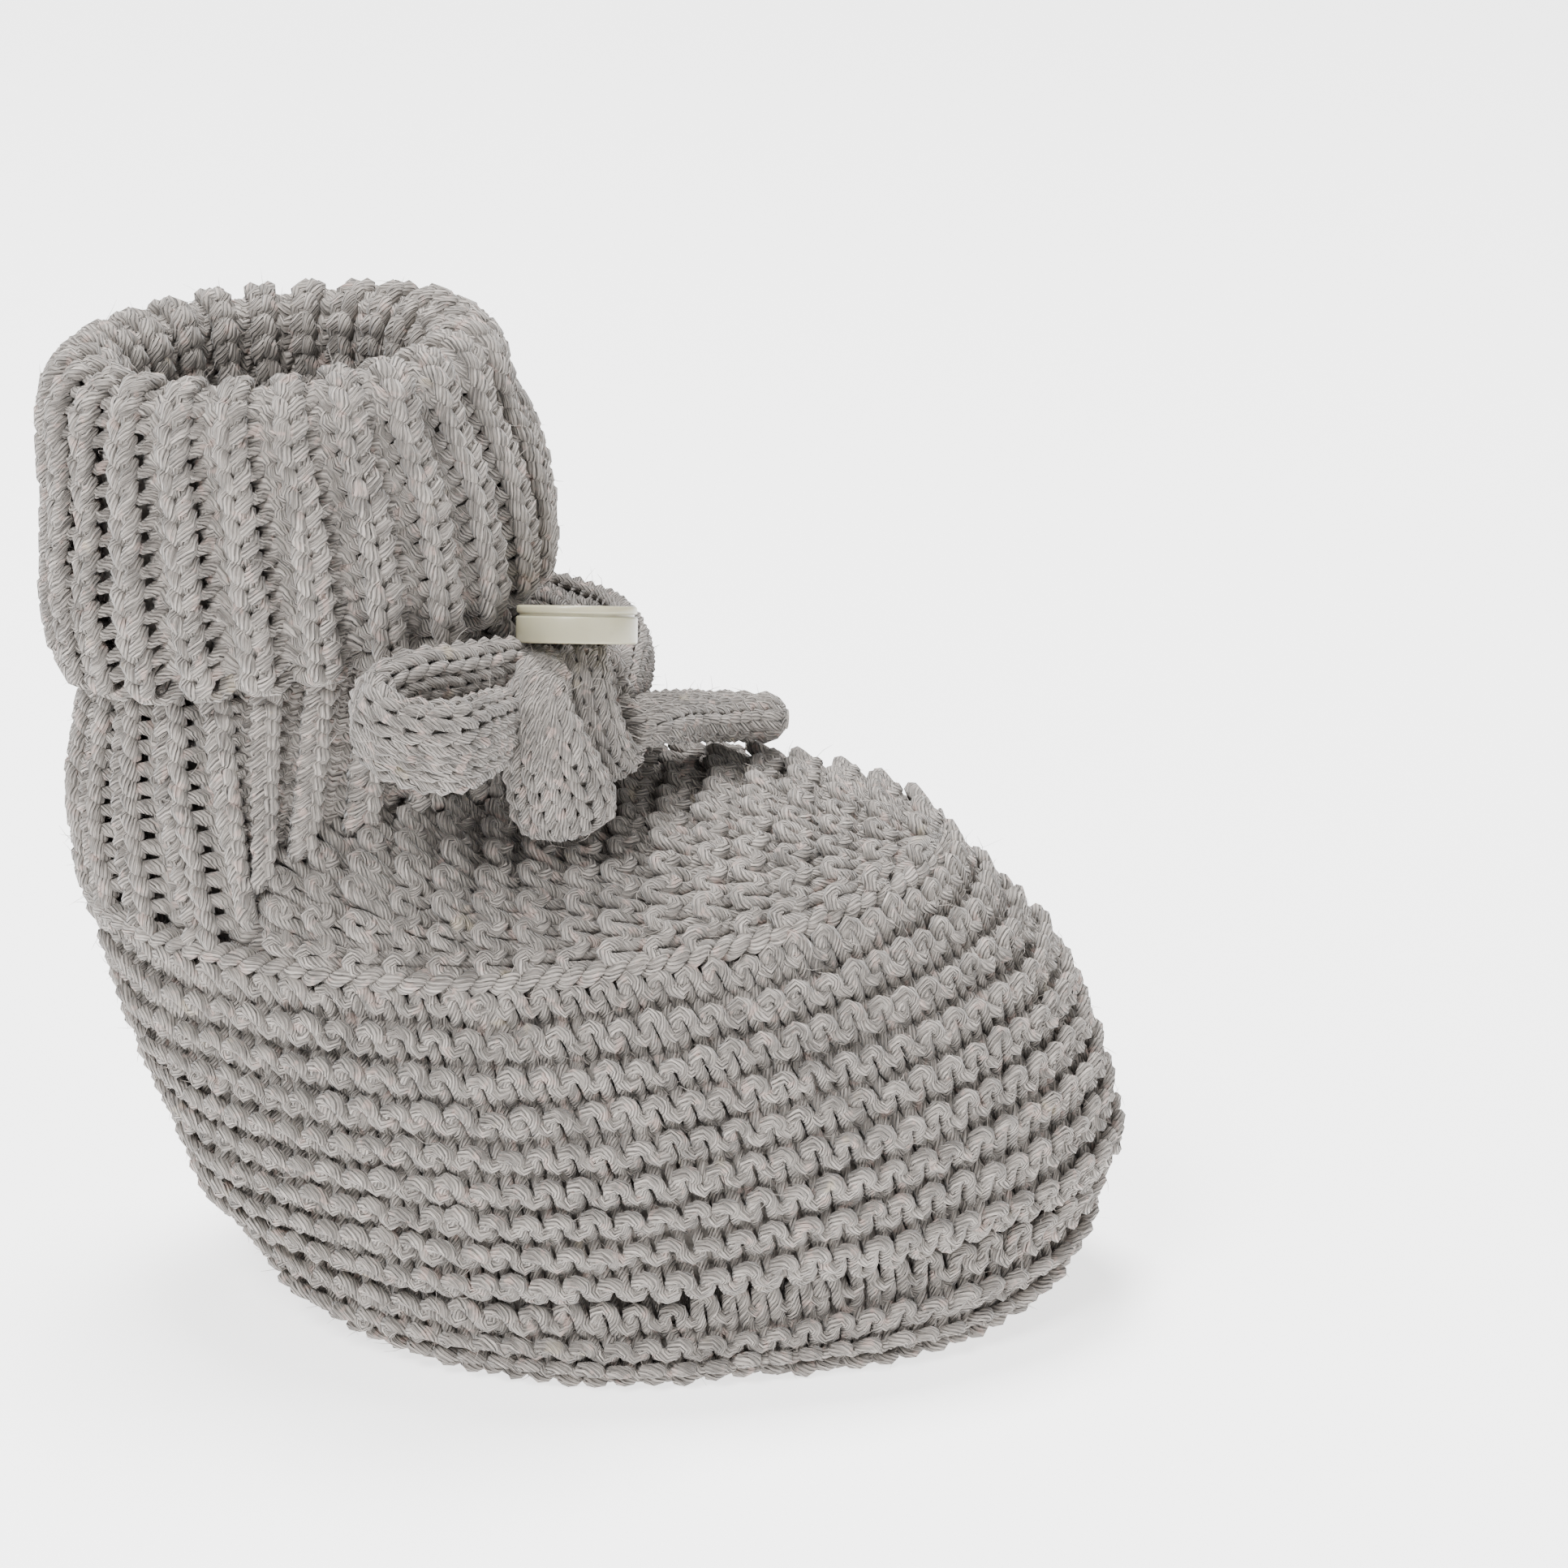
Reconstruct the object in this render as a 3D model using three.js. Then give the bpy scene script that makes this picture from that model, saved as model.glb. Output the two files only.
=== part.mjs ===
// A baby's knitted bootee: a garter-stitch foot, a ribbed ankle with a turned-down cuff, and a bow of
// knitted cord with a button. Millimetres, +Z up, toe towards -Y, the sole resting on z = 0.
import * as THREE from 'three';

// ---- driving dimensions -----------------------------------------------------------------------

const WALL = 2.2; // thickness of the knitted wall of the foot
const SEAM_GAP = 0.3; // clear gap between neighbouring pieces
const INSTEP_LIFT = 0.5; // keeps that gap along the slanted seam of the instep
const RIB_LIFT = 0.7; // and this along the foot of the ribbing
const AROUND = 44; // stations round each ring of the foot
const JOIN_STEPS = 16; // stations across the foot along the join of ankle and instep
const HEEL_STEPS = 24; // stations round the back of the ankle

// Plan loops of the foot, lowest first: each is two half ellipses that meet at the widest place.
const SOLE = { heel: 19.4, toe: -42, wide: -1.4, half: 25, z: 0, rise: 0 }; // flat underside
const UNDER = { heel: 32.1, toe: -49.2, wide: -1.4, half: 30, z: 0.8, rise: 2.5 }; // rounds its edge
const FOLD = { heel: 36.9, toe: -51.1, wide: 1.4, half: 30, z: 9.6, rise: 4.8 }; // side meets sole
const SWELL = { heel: 44.4, toe: -50.1, wide: 4.4, half: 33.5, z: 24, rise: 10 }; // bulge of the side
const SEAM = { heel: 48.4, toe: -33.6, wide: 10.4, half: 28.5, z: 41, rise: 5 }; // top edge of the side
const OVERHANG = 1.0; // how far the side stands out over the edge of the sole

// Where the ribbed ankle meets the instep.
const JOIN_BACK = 30; // y where the join leaves the top edge of the side
const JOIN_FRONT = 3; // y of the join at the middle of the foot
const SHOULDER = 2.4; // extra fullness of the instep on each side of its middle, by the ankle
const CREST = 51.8; // height of the instep's middle line by the ankle
const BROW = -14.6; // y where the instep starts to fall to the toe

// Ankle and turned-down cuff.
const ANKLE = { y: 26.8, half: 19.6, long: 19.8, z: 68, tilt: 0.19 }; // ring under the cuff's edge
const MOUTH = { y: 29.2, z: 94.5, tilt: 0.07 }; // ring along the top of the fold
const HEEL_SWELL = 3.6; // how far the back of the ankle swells out
const JOIN_TURN = 1.14; // angle from the heel, in radians, where the join meets the side
const CUFF_OUT = 23.5; // outer radius of the turned-down cuff at its lower edge
const CUFF_TOP = 21.6; // outer radius at the fold
const CUFF_WALL = 3.0; // thickness of the ribbed layer
const CUFF_SLIT = 0.8; // gap between the cuff and the ankle at the cuff's lower edge
const MOUTH_IN = 13.8; // radius inside the mouth
const ROLL_HIGH = 5.4; // height of the rounded fold

// Bow of flat knitted cord, sewn on at the front of the ankle with a button.
const CORD = { wide: 8.4, thick: 4.2, blunt: 0.4, sides: 10, step: 2 };
const KNOT = { at: [-11.5, -2, 61.6], half: [4.6, 4.4, 5.6] };
const BUTTON = { at: [-13.5, 0, 70.8], across: 11.2, thick: 3.5, edge: 0.5, lean: 0.3 };

const KNIT = { color: 0x9a958f, roughness: 0.95, metalness: 0 };
const SHELL = { color: 0xcfc9b4, roughness: 0.35, metalness: 0 };

// ---- helpers ----------------------------------------------------------------------------------

const mix = (a, b, t) => a + (b - a) * t;
const mixPoint = (a, b, t) => a.map((value, i) => mix(value, b[i], t));
const clamp01 = (t) => Math.min(1, Math.max(0, t));
const range = (n) => Array.from({ length: n }, (_, i) => i);

function bend(a, control, b, t) { // quadratic curve from a to b
  return mixPoint(mixPoint(a, control, t), mixPoint(control, b, t), t);
}

// Faces between rows of points that each run round in a ring.
function ringFaces(rowCount, around, at) {
  return range(rowCount).flatMap((r) => range(around).flatMap((c) => [
    [at(r, c), at(r, c + 1), at(r + 1, c + 1)],
    [at(r, c), at(r + 1, c + 1), at(r + 1, c)],
  ]));
}

// A body like a ring of cloth: its rows run round, and the last one joins the first.
function hoop(rows) {
  const around = rows[0].length;
  const at = (r, c) => (r % rows.length) * around + (c % around);
  return solid(rows.flat(), ringFaces(rows.length, around, at));
}

// A body whose rows run round and whose two end rows are closed by a cap.
function capped(rows) {
  const around = rows[0].length;
  const at = (r, c) => r * around + (c % around);
  const faces = ringFaces(rows.length - 1, around, at);
  const points = rows.flat();
  for (const r of [0, rows.length - 1]) {
    const middle = points.length;
    points.push([0, 1, 2].map((i) => rows[r].reduce((sum, p) => sum + p[i] / around, 0)));
    const cap = range(around).map((c) => [middle, at(r, c + 1), at(r, c)]);
    faces.push(...(r === 0 ? cap : cap.map(([a, b, c]) => [a, c, b])));
  }
  return solid(points, faces);
}

// A sheet with an outer and an inner face, each a grid of the same size, closed along its edges.
function sheet(outer, inner) {
  const [rowCount, across] = [outer.length, outer[0].length];
  const at = (side, r, c) => (side * rowCount + r) * across + c;
  const quad = (a, b, c, d) => [[a, b, c], [a, c, d]];
  const faces = [];
  for (const r of range(rowCount - 1)) {
    for (const c of range(across - 1)) {
      faces.push(...quad(at(0, r, c), at(0, r, c + 1), at(0, r + 1, c + 1), at(0, r + 1, c)));
      faces.push(...quad(at(1, r, c), at(1, r + 1, c), at(1, r + 1, c + 1), at(1, r, c + 1)));
    }
    const end = across - 1;
    faces.push(...quad(at(0, r, 0), at(0, r + 1, 0), at(1, r + 1, 0), at(1, r, 0)));
    faces.push(...quad(at(0, r, end), at(1, r, end), at(1, r + 1, end), at(0, r + 1, end)));
  }
  for (const c of range(across - 1)) {
    const end = rowCount - 1;
    faces.push(...quad(at(0, 0, c), at(1, 0, c), at(1, 0, c + 1), at(0, 0, c + 1)));
    faces.push(...quad(at(0, end, c), at(0, end, c + 1), at(1, end, c + 1), at(1, end, c)));
  }
  return solid([...outer.flat(), ...inner.flat()], faces);
}

// Makes the geometry, dropping faces with no area and turning the body the right way out.
function solid(points, faces) {
  const keys = points.map((p) => p.map((value) => Math.round(value * 1000)).join());
  const apart = ([a, b, c]) => keys[a] !== keys[b] && keys[b] !== keys[c] && keys[a] !== keys[c];
  const kept = faces.filter(apart);
  const corner = (i) => new THREE.Vector3(...points[i]);
  const volume = kept.reduce((sum, [a, b, c]) => sum + corner(a).dot(corner(b).cross(corner(c))), 0);
  const wound = volume > 0 ? kept : kept.map(([a, b, c]) => [a, c, b]);
  const geometry = new THREE.BufferGeometry();
  const corners = wound.flat().flatMap((i) => points[i]);
  geometry.setAttribute('position', new THREE.Float32BufferAttribute(corners, 3));
  geometry.computeVertexNormals();
  return geometry;
}

const group = new THREE.Group();

function add(name, geometry, finish) {
  const mesh = new THREE.Mesh(geometry, new THREE.MeshStandardMaterial(finish));
  mesh.name = name;
  group.add(mesh);
}

// ---- the form of the foot ---------------------------------------------------------------------

// A point of a plan loop, set in by inset. The angle turns from the heel, 0, to the toe, pi.
function loopPoint(loop, angle, inset = 0) {
  const [c, s] = [Math.cos(angle), Math.sin(angle)];
  const reach = (c > 0 ? loop.heel - loop.wide : loop.wide - loop.toe) - inset;
  const y = loop.wide + reach * c;
  return [(loop.half - inset) * s, y, loop.z + loop.rise * Math.max(0, -c) ** 1.5];
}

// The top edge of the side: its height and its half width at y.
function seamHeight(y, inset) {
  return SEAM.z + SEAM.rise * clamp01((SEAM.wide - y) / (SEAM.wide - SEAM.toe - inset)) ** 1.5;
}

function seamHalf(y, inset) {
  const reach = (y > SEAM.wide ? SEAM.heel - SEAM.wide : SEAM.wide - SEAM.toe) - inset;
  return (SEAM.half - inset) * Math.sqrt(clamp01(1 - ((y - SEAM.wide) / reach) ** 2));
}

// The side wall, from the fold, v = 0, to its top edge, v = 1.
function sidePoint(angle, v, inset) {
  const [low, bulge, high] = [FOLD, SWELL, SEAM].map((loop) => loopPoint(loop, angle, inset));
  return bend(low, bulge, high, v);
}

// The line where the ribbing meets the instep, q = -1 to 1 across the foot.
const shoulder = (s) => SHOULDER * 4 * s * s * (1 - s * s);

function joinPoint(q, inset) {
  const s = Math.sin((q * Math.PI) / 2);
  const drop = Math.max(0, Math.cos((q * Math.PI) / 2));
  const side = seamHalf(JOIN_BACK, inset);
  return [
    side * s,
    JOIN_BACK - (JOIN_BACK - JOIN_FRONT - 0.5 * inset) * drop ** 2.2,
    mix(seamHeight(JOIN_BACK, inset), CREST - inset, drop ** 0.4) + shoulder(s),
  ];
}

// Height of the instep's middle line.
function crestHeight(y, inset) {
  const fall = clamp01((BROW - y) / (BROW - SEAM.toe - inset));
  const end = SEAM.z + SEAM.rise;
  return end + (CREST - inset - end) * Math.max(0, 1 - fall ** 2) ** 0.7;
}

// The instep, s = -1 to 1 across and t = 0 to 1 from the join to the toe.
function instepPoint(s, t, inset) {
  const join = joinPoint((2 / Math.PI) * Math.asin(s), inset);
  const toe = SEAM.toe + inset;
  const y = mix(join[1] - SEAM_GAP, toe, t);
  const edge = mix(JOIN_BACK, toe, t);
  const early = clamp01(2.5 * t);
  const round = Math.max(0, 1 - s * s) ** mix(0.2, 0.7, early);
  const full = shoulder(s) * (1 - early) ** 2;
  const z = mix(seamHeight(edge, inset), crestHeight(y, inset), round) + full;
  return [seamHalf(edge, inset) * s, y, z + INSTEP_LIFT];
}

// ---- the form of the ankle and cuff -----------------------------------------------------------

// A point on a tilted ring, between the ankle ring, up = 0, and the mouth, up = 1.
function ringPoint(turn, out, up, drop = 0) {
  const stretch = mix(ANKLE.long - ANKLE.half, 0, clamp01(up));
  const y = out * Math.cos(turn) + stretch * Math.cos(turn);
  const z = mix(ANKLE.z, MOUTH.z, up) - drop;
  return [out * Math.sin(turn), mix(ANKLE.y, MOUTH.y, up) + y, z - mix(ANKLE.tilt, MOUTH.tilt, up) * y];
}

// Lower edge of the ribbing: the back of the side's top edge, then the join over the front.
function ribFoot(turn, inset) {
  const angle = Math.atan2(Math.sin(turn), Math.cos(turn));
  const heelTurn = Math.acos((JOIN_BACK - SEAM.wide) / (SEAM.heel - SEAM.wide));
  const past = (Math.sign(angle) * (Math.PI - Math.abs(angle))) / (Math.PI - JOIN_TURN);
  const onSide = Math.abs(angle) < JOIN_TURN;
  const p = onSide ? loopPoint(SEAM, (angle / JOIN_TURN) * heelTurn, inset) : joinPoint(past, inset);
  return [p[0], p[1], p[2] + RIB_LIFT];
}

// The ribbed ankle below the cuff, v = 0 at the foot and 1 under the cuff.
function anklePoint(turn, v, inset) {
  const low = ribFoot(turn, inset);
  const high = ringPoint(turn, ANKLE.half - inset, 0);
  const swell = HEEL_SWELL * Math.max(0, Math.cos(turn)) ** 1.5;
  const middle = mixPoint(low, high, 0.5);
  return bend(low, [middle[0], middle[1] + swell, middle[2]], high, v);
}

// ---- pieces of the foot -----------------------------------------------------------------------

const turns = range(AROUND).map((i) => (i / AROUND) * 2 * Math.PI);

// Sole: a flat underside with edges that round up to the fold.
const soleRow = (v, inset) => turns.map((angle) => {
  const edge = loopPoint({ ...FOLD, z: FOLD.z - SEAM_GAP }, angle, OVERHANG + inset);
  const under = loopPoint(UNDER, angle, inset);
  const p = bend(loopPoint(SOLE, angle, inset), under, edge, v);
  return [p[0], p[1], p[2] + inset * (1 - v)];
});
const soleSteps = [0, 0.2, 0.4, 0.6, 0.8, 1];
add('sole', capped([
  ...soleSteps.map((v) => soleRow(v, 0)),
  ...soleSteps.toReversed().map((v) => soleRow(v, WALL)),
]), KNIT);

// Side: the garter-stitch band round heel and toe.
const sideRow = (v, inset) => turns.map((angle) => sidePoint(angle, v, inset));
const sideSteps = range(8).map((i) => i / 7);
add('foot_band', hoop([
  ...sideSteps.map((v) => sideRow(v, 0)),
  ...sideSteps.toReversed().map((v) => sideRow(v, WALL)),
]), KNIT);

// Instep: the garter-stitch panel from the ankle to the toe.
const acrossSteps = range(JOIN_STEPS + 1).map((i) => Math.sin((i / JOIN_STEPS - 0.5) * Math.PI));
const instepSteps = range(14).map((i) => (i / 13) ** 1.25);
const instepGrid = (inset) => instepSteps.map((t) => acrossSteps.map((s) => instepPoint(s, t, inset)));
add('instep', sheet(instepGrid(0), instepGrid(WALL)), KNIT);

// ---- ribbed ankle and turned-down cuff, one tube folded over at the mouth ------------------------

// Each row runs round the tube: up outside the ankle, up inside the cuff's slit, down the back of
// the cuff, round its lower edge, up its face, over the fold and down inside to the foot. The
// stations over the front are those of the instep, so that both edges of the join match.
const ribTurns = [
  ...range(HEEL_STEPS).map((i) => mix(-JOIN_TURN, JOIN_TURN, i / HEEL_STEPS)),
  ...range(JOIN_STEPS).map((i) => mix(JOIN_TURN, 2 * Math.PI - JOIN_TURN, i / JOIN_STEPS)),
];
const ring = (out, up, drop = 0) => ribTurns.map((turn) => ringPoint(turn, out, up, drop));
const ankleRow = (v, inset) => ribTurns.map((turn) => anklePoint(turn, v, inset));
const slitIn = ANKLE.half + CUFF_SLIT;
const foldIn = MOUTH_IN + CUFF_WALL;
const foldMiddle = (foldIn + CUFF_TOP - CUFF_WALL) / 2;
const rollMiddle = (MOUTH_IN + CUFF_TOP) / 2;
const rollHalf = (CUFF_TOP - MOUTH_IN) / 2;
const ankleSteps = [0, 0.25, 0.5, 0.75, 1];
const rollSteps = range(7).map((i) => (i / 6) * Math.PI);
add('ankle_cuff', hoop([
  ...ankleSteps.map((v) => ankleRow(v, 0)),
  ring(mix(ANKLE.half, foldIn, 0.4), 0.4),
  ring(foldIn, 0.8),
  ring(foldMiddle, 0.86),
  ring(CUFF_TOP - CUFF_WALL, 0.8),
  ring(mix(slitIn, CUFF_TOP - CUFF_WALL, 0.5), 0.4),
  ring(slitIn, 0.02),
  ring(slitIn + 0.8, 0.02, 1.2),
  ring(CUFF_OUT - 0.6, 0.02, 1.2),
  ring(CUFF_OUT, 0.06),
  ring(CUFF_OUT + 0.1, 0.25),
  ring(mix(CUFF_OUT, CUFF_TOP, 0.4), 0.55),
  ...rollSteps.map((a) => ring(rollMiddle + rollHalf * Math.cos(a), 1, ROLL_HIGH * (1 - Math.sin(a)))),
  ring(MOUTH_IN + 0.4, 0.6),
  ring(mix(MOUTH_IN, ANKLE.half - CUFF_WALL, 0.6), 0.3),
  ...ankleSteps.toReversed().map((v) => ankleRow(v, CUFF_WALL - (1 - v) * (CUFF_WALL - WALL))),
]), KNIT);

// ---- bow and button ------------------------------------------------------------------------------

// A flat oval cord through hand-placed points. Each row gives the place and the direction of the
// cord's width there. A free end of the cord is rounded.
function tape(rows, roundEnd) {
  const curve = new THREE.CatmullRomCurve3(rows.map(([place]) => new THREE.Vector3(...place)));
  const length = curve.getLength();
  const count = Math.round(length / CORD.step);
  const full = CORD.wide / 2;
  const swell = (away) => Math.sqrt(clamp01(1 - (1 - Math.min(1, (away + CORD.blunt) / full)) ** 2));
  return capped(range(count + 1).map((i) => {
    const u = i / count;
    const along = curve.getUtoTmapping(u) * (rows.length - 1);
    const k = Math.min(rows.length - 2, Math.floor(along));
    const middle = curve.getPointAt(u);
    const ahead = curve.getTangentAt(u);
    const wide = new THREE.Vector3(...mixPoint(rows[k][1], rows[k + 1][1], along - k));
    wide.addScaledVector(ahead, -wide.dot(ahead)).normalize();
    const out = new THREE.Vector3().crossVectors(ahead, wide);
    const scale = roundEnd ? swell((1 - u) * length) : 1;
    return range(CORD.sides).map((j) => {
      const turn = (j / CORD.sides) * 2 * Math.PI;
      return middle.clone()
        .addScaledVector(wide, full * scale * Math.cos(turn))
        .addScaledVector(out, (CORD.thick / 2) * scale ** 0.5 * Math.sin(turn))
        .toArray();
    });
  }));
}

const UPRIGHT = [0, 0, 1];
const LEANING = [-0.3, 0, 0.95];
const SIDEWAYS = [0, 1, 0];
const ACROSS = [1, 0, 0];
const bowRoutes = {
  bow_loop_left: [
    [[-21.5, 10.2, 67.0], LEANING],
    [[-25.2, 14.0, 67.6], LEANING],
    [[-28.2, 16.8, 66.9], LEANING],
    [[-31.0, 16.0, 65.8], LEANING],
    [[-31.6, 12.4, 64.9], LEANING],
    [[-28.4, 8.2, 64.0], LEANING],
  ],
  bow_loop_right: [
    [[-4.6, 1.6, 62.6], UPRIGHT],
    [[1.5, 1.3, 62.4], UPRIGHT],
    [[8.0, 3.0, 62.0], UPRIGHT],
    [[14.0, 6.8, 61.4], UPRIGHT],
    [[18.6, 10.0, 60.8], UPRIGHT],
    [[22.2, 9.6, 60.4], UPRIGHT],
    [[22.4, 5.6, 60.2], UPRIGHT],
    [[18.2, 1.2, 60.2], UPRIGHT],
    [[13.0, -1.4, 60.7], UPRIGHT],
    [[9.8, -2.4, 61.2], UPRIGHT],
  ],
  bow_tail_front: [
    [[-18.6, 2.8, 66.0], SIDEWAYS],
    [[-18.6, 2.8, 62.0], SIDEWAYS],
    [[-18.0, 2.4, 58.0], SIDEWAYS],
    [[-17.0, 1.8, 52.6], SIDEWAYS],
  ],
  bow_tail_side: [
    [[-5.6, -4.6, 59.4], [0.6, 0.7, 0]],
    [[-0.5, -5.8, 57.2], [0.7, 0.7, 0]],
    [[3.6, -10.6, 55.6], [1, 0.3, 0]],
    [[5.6, -13.6, 55.8], ACROSS],
    [[6.2, -18.0, 55.5], ACROSS],
  ],
};
for (const [name, rows] of Object.entries(bowRoutes)) {
  add(name, tape(rows, name.includes('tail')), KNIT);
}

// The knot that the loops and tails come out of.
const knotShape = new THREE.SphereGeometry(1, 14, 10).rotateX(Math.PI / 2);
add('bow_knot', knotShape.scale(...KNOT.half).translate(...KNOT.at), KNIT);

// The button: a disc with a rounded rim, lying flat on the knot.
const buttonEdge = [
  [0, -BUTTON.thick / 2],
  [BUTTON.across / 2 - BUTTON.edge, -BUTTON.thick / 2],
  [BUTTON.across / 2, -BUTTON.thick / 2 + BUTTON.edge],
  [BUTTON.across / 2, BUTTON.thick / 2 - BUTTON.edge],
  [BUTTON.across / 2 - BUTTON.edge, BUTTON.thick / 2],
  [0, BUTTON.thick / 2],
];
const buttonShape = new THREE.LatheGeometry(buttonEdge.map((p) => new THREE.Vector2(...p)), 32);
add('button', buttonShape.rotateX(Math.PI / 2).rotateY(BUTTON.lean).translate(...BUTTON.at), SHELL);

export default group;
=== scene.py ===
"""A baby's knitted bootee: a garter-stitch foot, a ribbed ankle with a turned-down cuff, and a bow of
flat knitted cord with a disc button. Every stitch is laid as yarn over a thin wall of cloth."""

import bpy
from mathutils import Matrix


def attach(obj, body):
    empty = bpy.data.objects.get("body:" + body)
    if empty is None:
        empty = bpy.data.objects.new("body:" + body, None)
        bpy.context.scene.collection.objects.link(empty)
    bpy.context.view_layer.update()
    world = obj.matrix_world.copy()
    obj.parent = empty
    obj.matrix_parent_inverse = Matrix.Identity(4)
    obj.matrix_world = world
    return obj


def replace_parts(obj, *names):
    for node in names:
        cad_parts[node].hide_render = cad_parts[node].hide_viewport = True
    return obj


bl_info = {
    "name": "Knitted baby bootee",
    "version": (1, 0, 0),
    "blender": (4, 5, 0),
    "location": "3D View > Sidebar > Bootee",
    "description": "Knits a baby bootee with a ribbed cuff, a cord bow and a button",
    "category": "Object",
}

import math

import bmesh
import bpy
import numpy as np
from mathutils import Matrix, Vector

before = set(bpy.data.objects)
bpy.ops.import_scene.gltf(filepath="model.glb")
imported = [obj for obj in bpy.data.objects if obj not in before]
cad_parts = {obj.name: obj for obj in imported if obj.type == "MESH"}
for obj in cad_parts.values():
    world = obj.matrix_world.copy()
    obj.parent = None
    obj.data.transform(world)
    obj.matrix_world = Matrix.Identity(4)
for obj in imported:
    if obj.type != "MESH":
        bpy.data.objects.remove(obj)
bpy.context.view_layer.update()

MM = 0.001
TURN = 2 * math.pi

# ---- the form of the bootee, in millimetres, as the frame has it ---

SOLE = dict(heel=19.4, toe=-42.0, wide=-1.4, half=25.0, z=0.0, rise=0.0)
UNDER = dict(heel=32.1, toe=-49.2, wide=-1.4, half=30.0, z=0.8, rise=2.5)
FOLD = dict(heel=36.9, toe=-51.1, wide=1.4, half=30.0, z=9.6, rise=4.8)
SWELL = dict(heel=44.4, toe=-50.1, wide=4.4, half=33.5, z=24.0, rise=10.0)
SEAM = dict(heel=48.4, toe=-33.6, wide=10.4, half=28.5, z=41.0, rise=5.0)
JOIN_BACK, JOIN_FRONT, JOIN_TURN = 30.0, 3.0, 1.14
SHOULDER = 2.4  # how much fuller the instep stands on each side of its middle, by the ankle
SOLE_TUCK = 1.0  # how far the side stands out over the sole's edge
CREST, BROW = 51.8, -14.6
ANKLE = dict(y=26.8, half=19.6, long=19.8, z=68.0, tilt=0.19)
MOUTH = dict(y=29.2, z=94.5, tilt=0.07)
HEEL_SWELL = 3.6
CUFF_OUT, CUFF_TOP, MOUTH_IN, ROLL_HIGH = 23.5, 21.6, 13.8, 5.4
CORD_WIDE, CORD_THICK, BLUNT = 8.4, 4.2, 2.6
CORD_COLUMNS, CORD_STEPS = 9, 8  # stitches round the cord, and points along each
KNOT_AT, KNOT_HALF = (-11.6, -0.6, 62.4), (5.0, 4.4, 5.2)
BUTTON_AT, BUTTON_LEAN = (-13.5, 0.0, 70.8), 0.3

# The bow's route: the place of the cord, the direction of its width there and its share of that width.
UPRIGHT, LEANING, SIDEWAYS = (0, 0, 1), (-0.3, 0, 0.95), (0, 1, 0)
BOW_ROUTE = [
    ((-19.4, 0.2, 53.2), SIDEWAYS, 1.12),
    ((-20.6, 1.3, 57.4), SIDEWAYS, 1.08),
    ((-21.2, 2.4, 62.0), SIDEWAYS, 0.85),
    ((-20.2, 3.0, 65.4), SIDEWAYS, 0.62),
    ((-16.6, 3.0, 67.3), (-0.1, 1.0, 0.1), 0.55),
    ((-13.6, 3.6, 66.4), LEANING, 0.65),
    ((-16.8, 7.2, 66.6), LEANING, 0.85),
    ((-21.5, 10.4, 67.1), LEANING, 0.95),
    ((-25.2, 14.0, 67.6), LEANING, 1.0),
    ((-28.2, 16.8, 66.9), LEANING, 1.0),
    ((-31.0, 16.0, 65.8), LEANING, 1.0),
    ((-31.6, 12.4, 64.9), LEANING, 1.0),
    ((-29.2, 9.2, 64.2), LEANING, 1.0),
    ((-24.6, 7.6, 63.6), LEANING, 0.9),
    ((-18.6, 5.6, 62.8), LEANING, 0.8),
    ((-13.6, 2.4, 62.2), LEANING, 0.7),
    ((-9.0, 1.2, 62.2), UPRIGHT, 0.7),
    ((-4.2, 1.6, 62.5), UPRIGHT, 0.85),
    ((1.5, 1.3, 62.4), UPRIGHT, 0.95),
    ((8.0, 3.0, 62.0), UPRIGHT, 1.0),
    ((14.0, 6.8, 61.4), UPRIGHT, 1.0),
    ((18.6, 10.0, 60.8), UPRIGHT, 1.0),
    ((22.2, 9.6, 60.4), UPRIGHT, 1.0),
    ((22.4, 5.6, 60.2), UPRIGHT, 1.0),
    ((18.2, 1.2, 60.2), UPRIGHT, 1.0),
    ((13.0, -1.4, 60.7), UPRIGHT, 1.0),
    ((6.0, -3.2, 61.2), UPRIGHT, 0.9),
    ((-1.0, -3.2, 61.4), UPRIGHT, 0.8),
    ((-7.0, -2.8, 61.2), (0.1, -0.3, 0.9), 0.7),
    ((-9.2, -4.0, 60.2), (0.6, 0.7, 0.3), 0.7),
    ((-6.2, -6.2, 59.3), (0.7, 0.7, 0), 0.74),
    ((-0.5, -8.4, 57.8), (0.8, 0.6, 0), 0.78),
    ((3.6, -11.4, 56.4), (0.95, 0.3, -0.15), 0.8),
    ((5.6, -14.4, 55.8), (0.97, 0, -0.24), 0.82),
    ((6.2, -18.4, 55.4), (0.97, 0, -0.24), 0.84),
]


def mix(a, b, t):
    """The value a share t of the way from a to b."""
    return a + (b - a) * t


def bend(a, control, b, t):
    """Quadratic curve from a to b."""
    return mix(mix(a, control, t), mix(control, b, t), t)


def point(x, y, z):
    """Points from their coordinates."""
    return np.stack(np.broadcast_arrays(x, y, z), axis=-1).astype(float)


def unit(ways):
    """Directions made one long."""
    return ways / (np.linalg.norm(ways, axis=-1, keepdims=True) + 1e-12)


def lengths(places):
    """Distance along a line to each of its places."""
    return np.concatenate([[0], np.cumsum(np.linalg.norm(np.diff(places, axis=0), axis=1))])


def loop_point(loop, angle, inset=0.0):
    """A point of a plan loop. The angle turns from the heel, 0, to the toe, pi."""
    c, s = np.cos(angle), np.sin(angle)
    reach = np.where(c > 0, loop["heel"] - loop["wide"], loop["wide"] - loop["toe"]) - inset
    lift = loop["rise"] * np.maximum(0, -c) ** 1.5
    return point((loop["half"] - inset) * s, loop["wide"] + reach * c, loop["z"] + lift)


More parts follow.
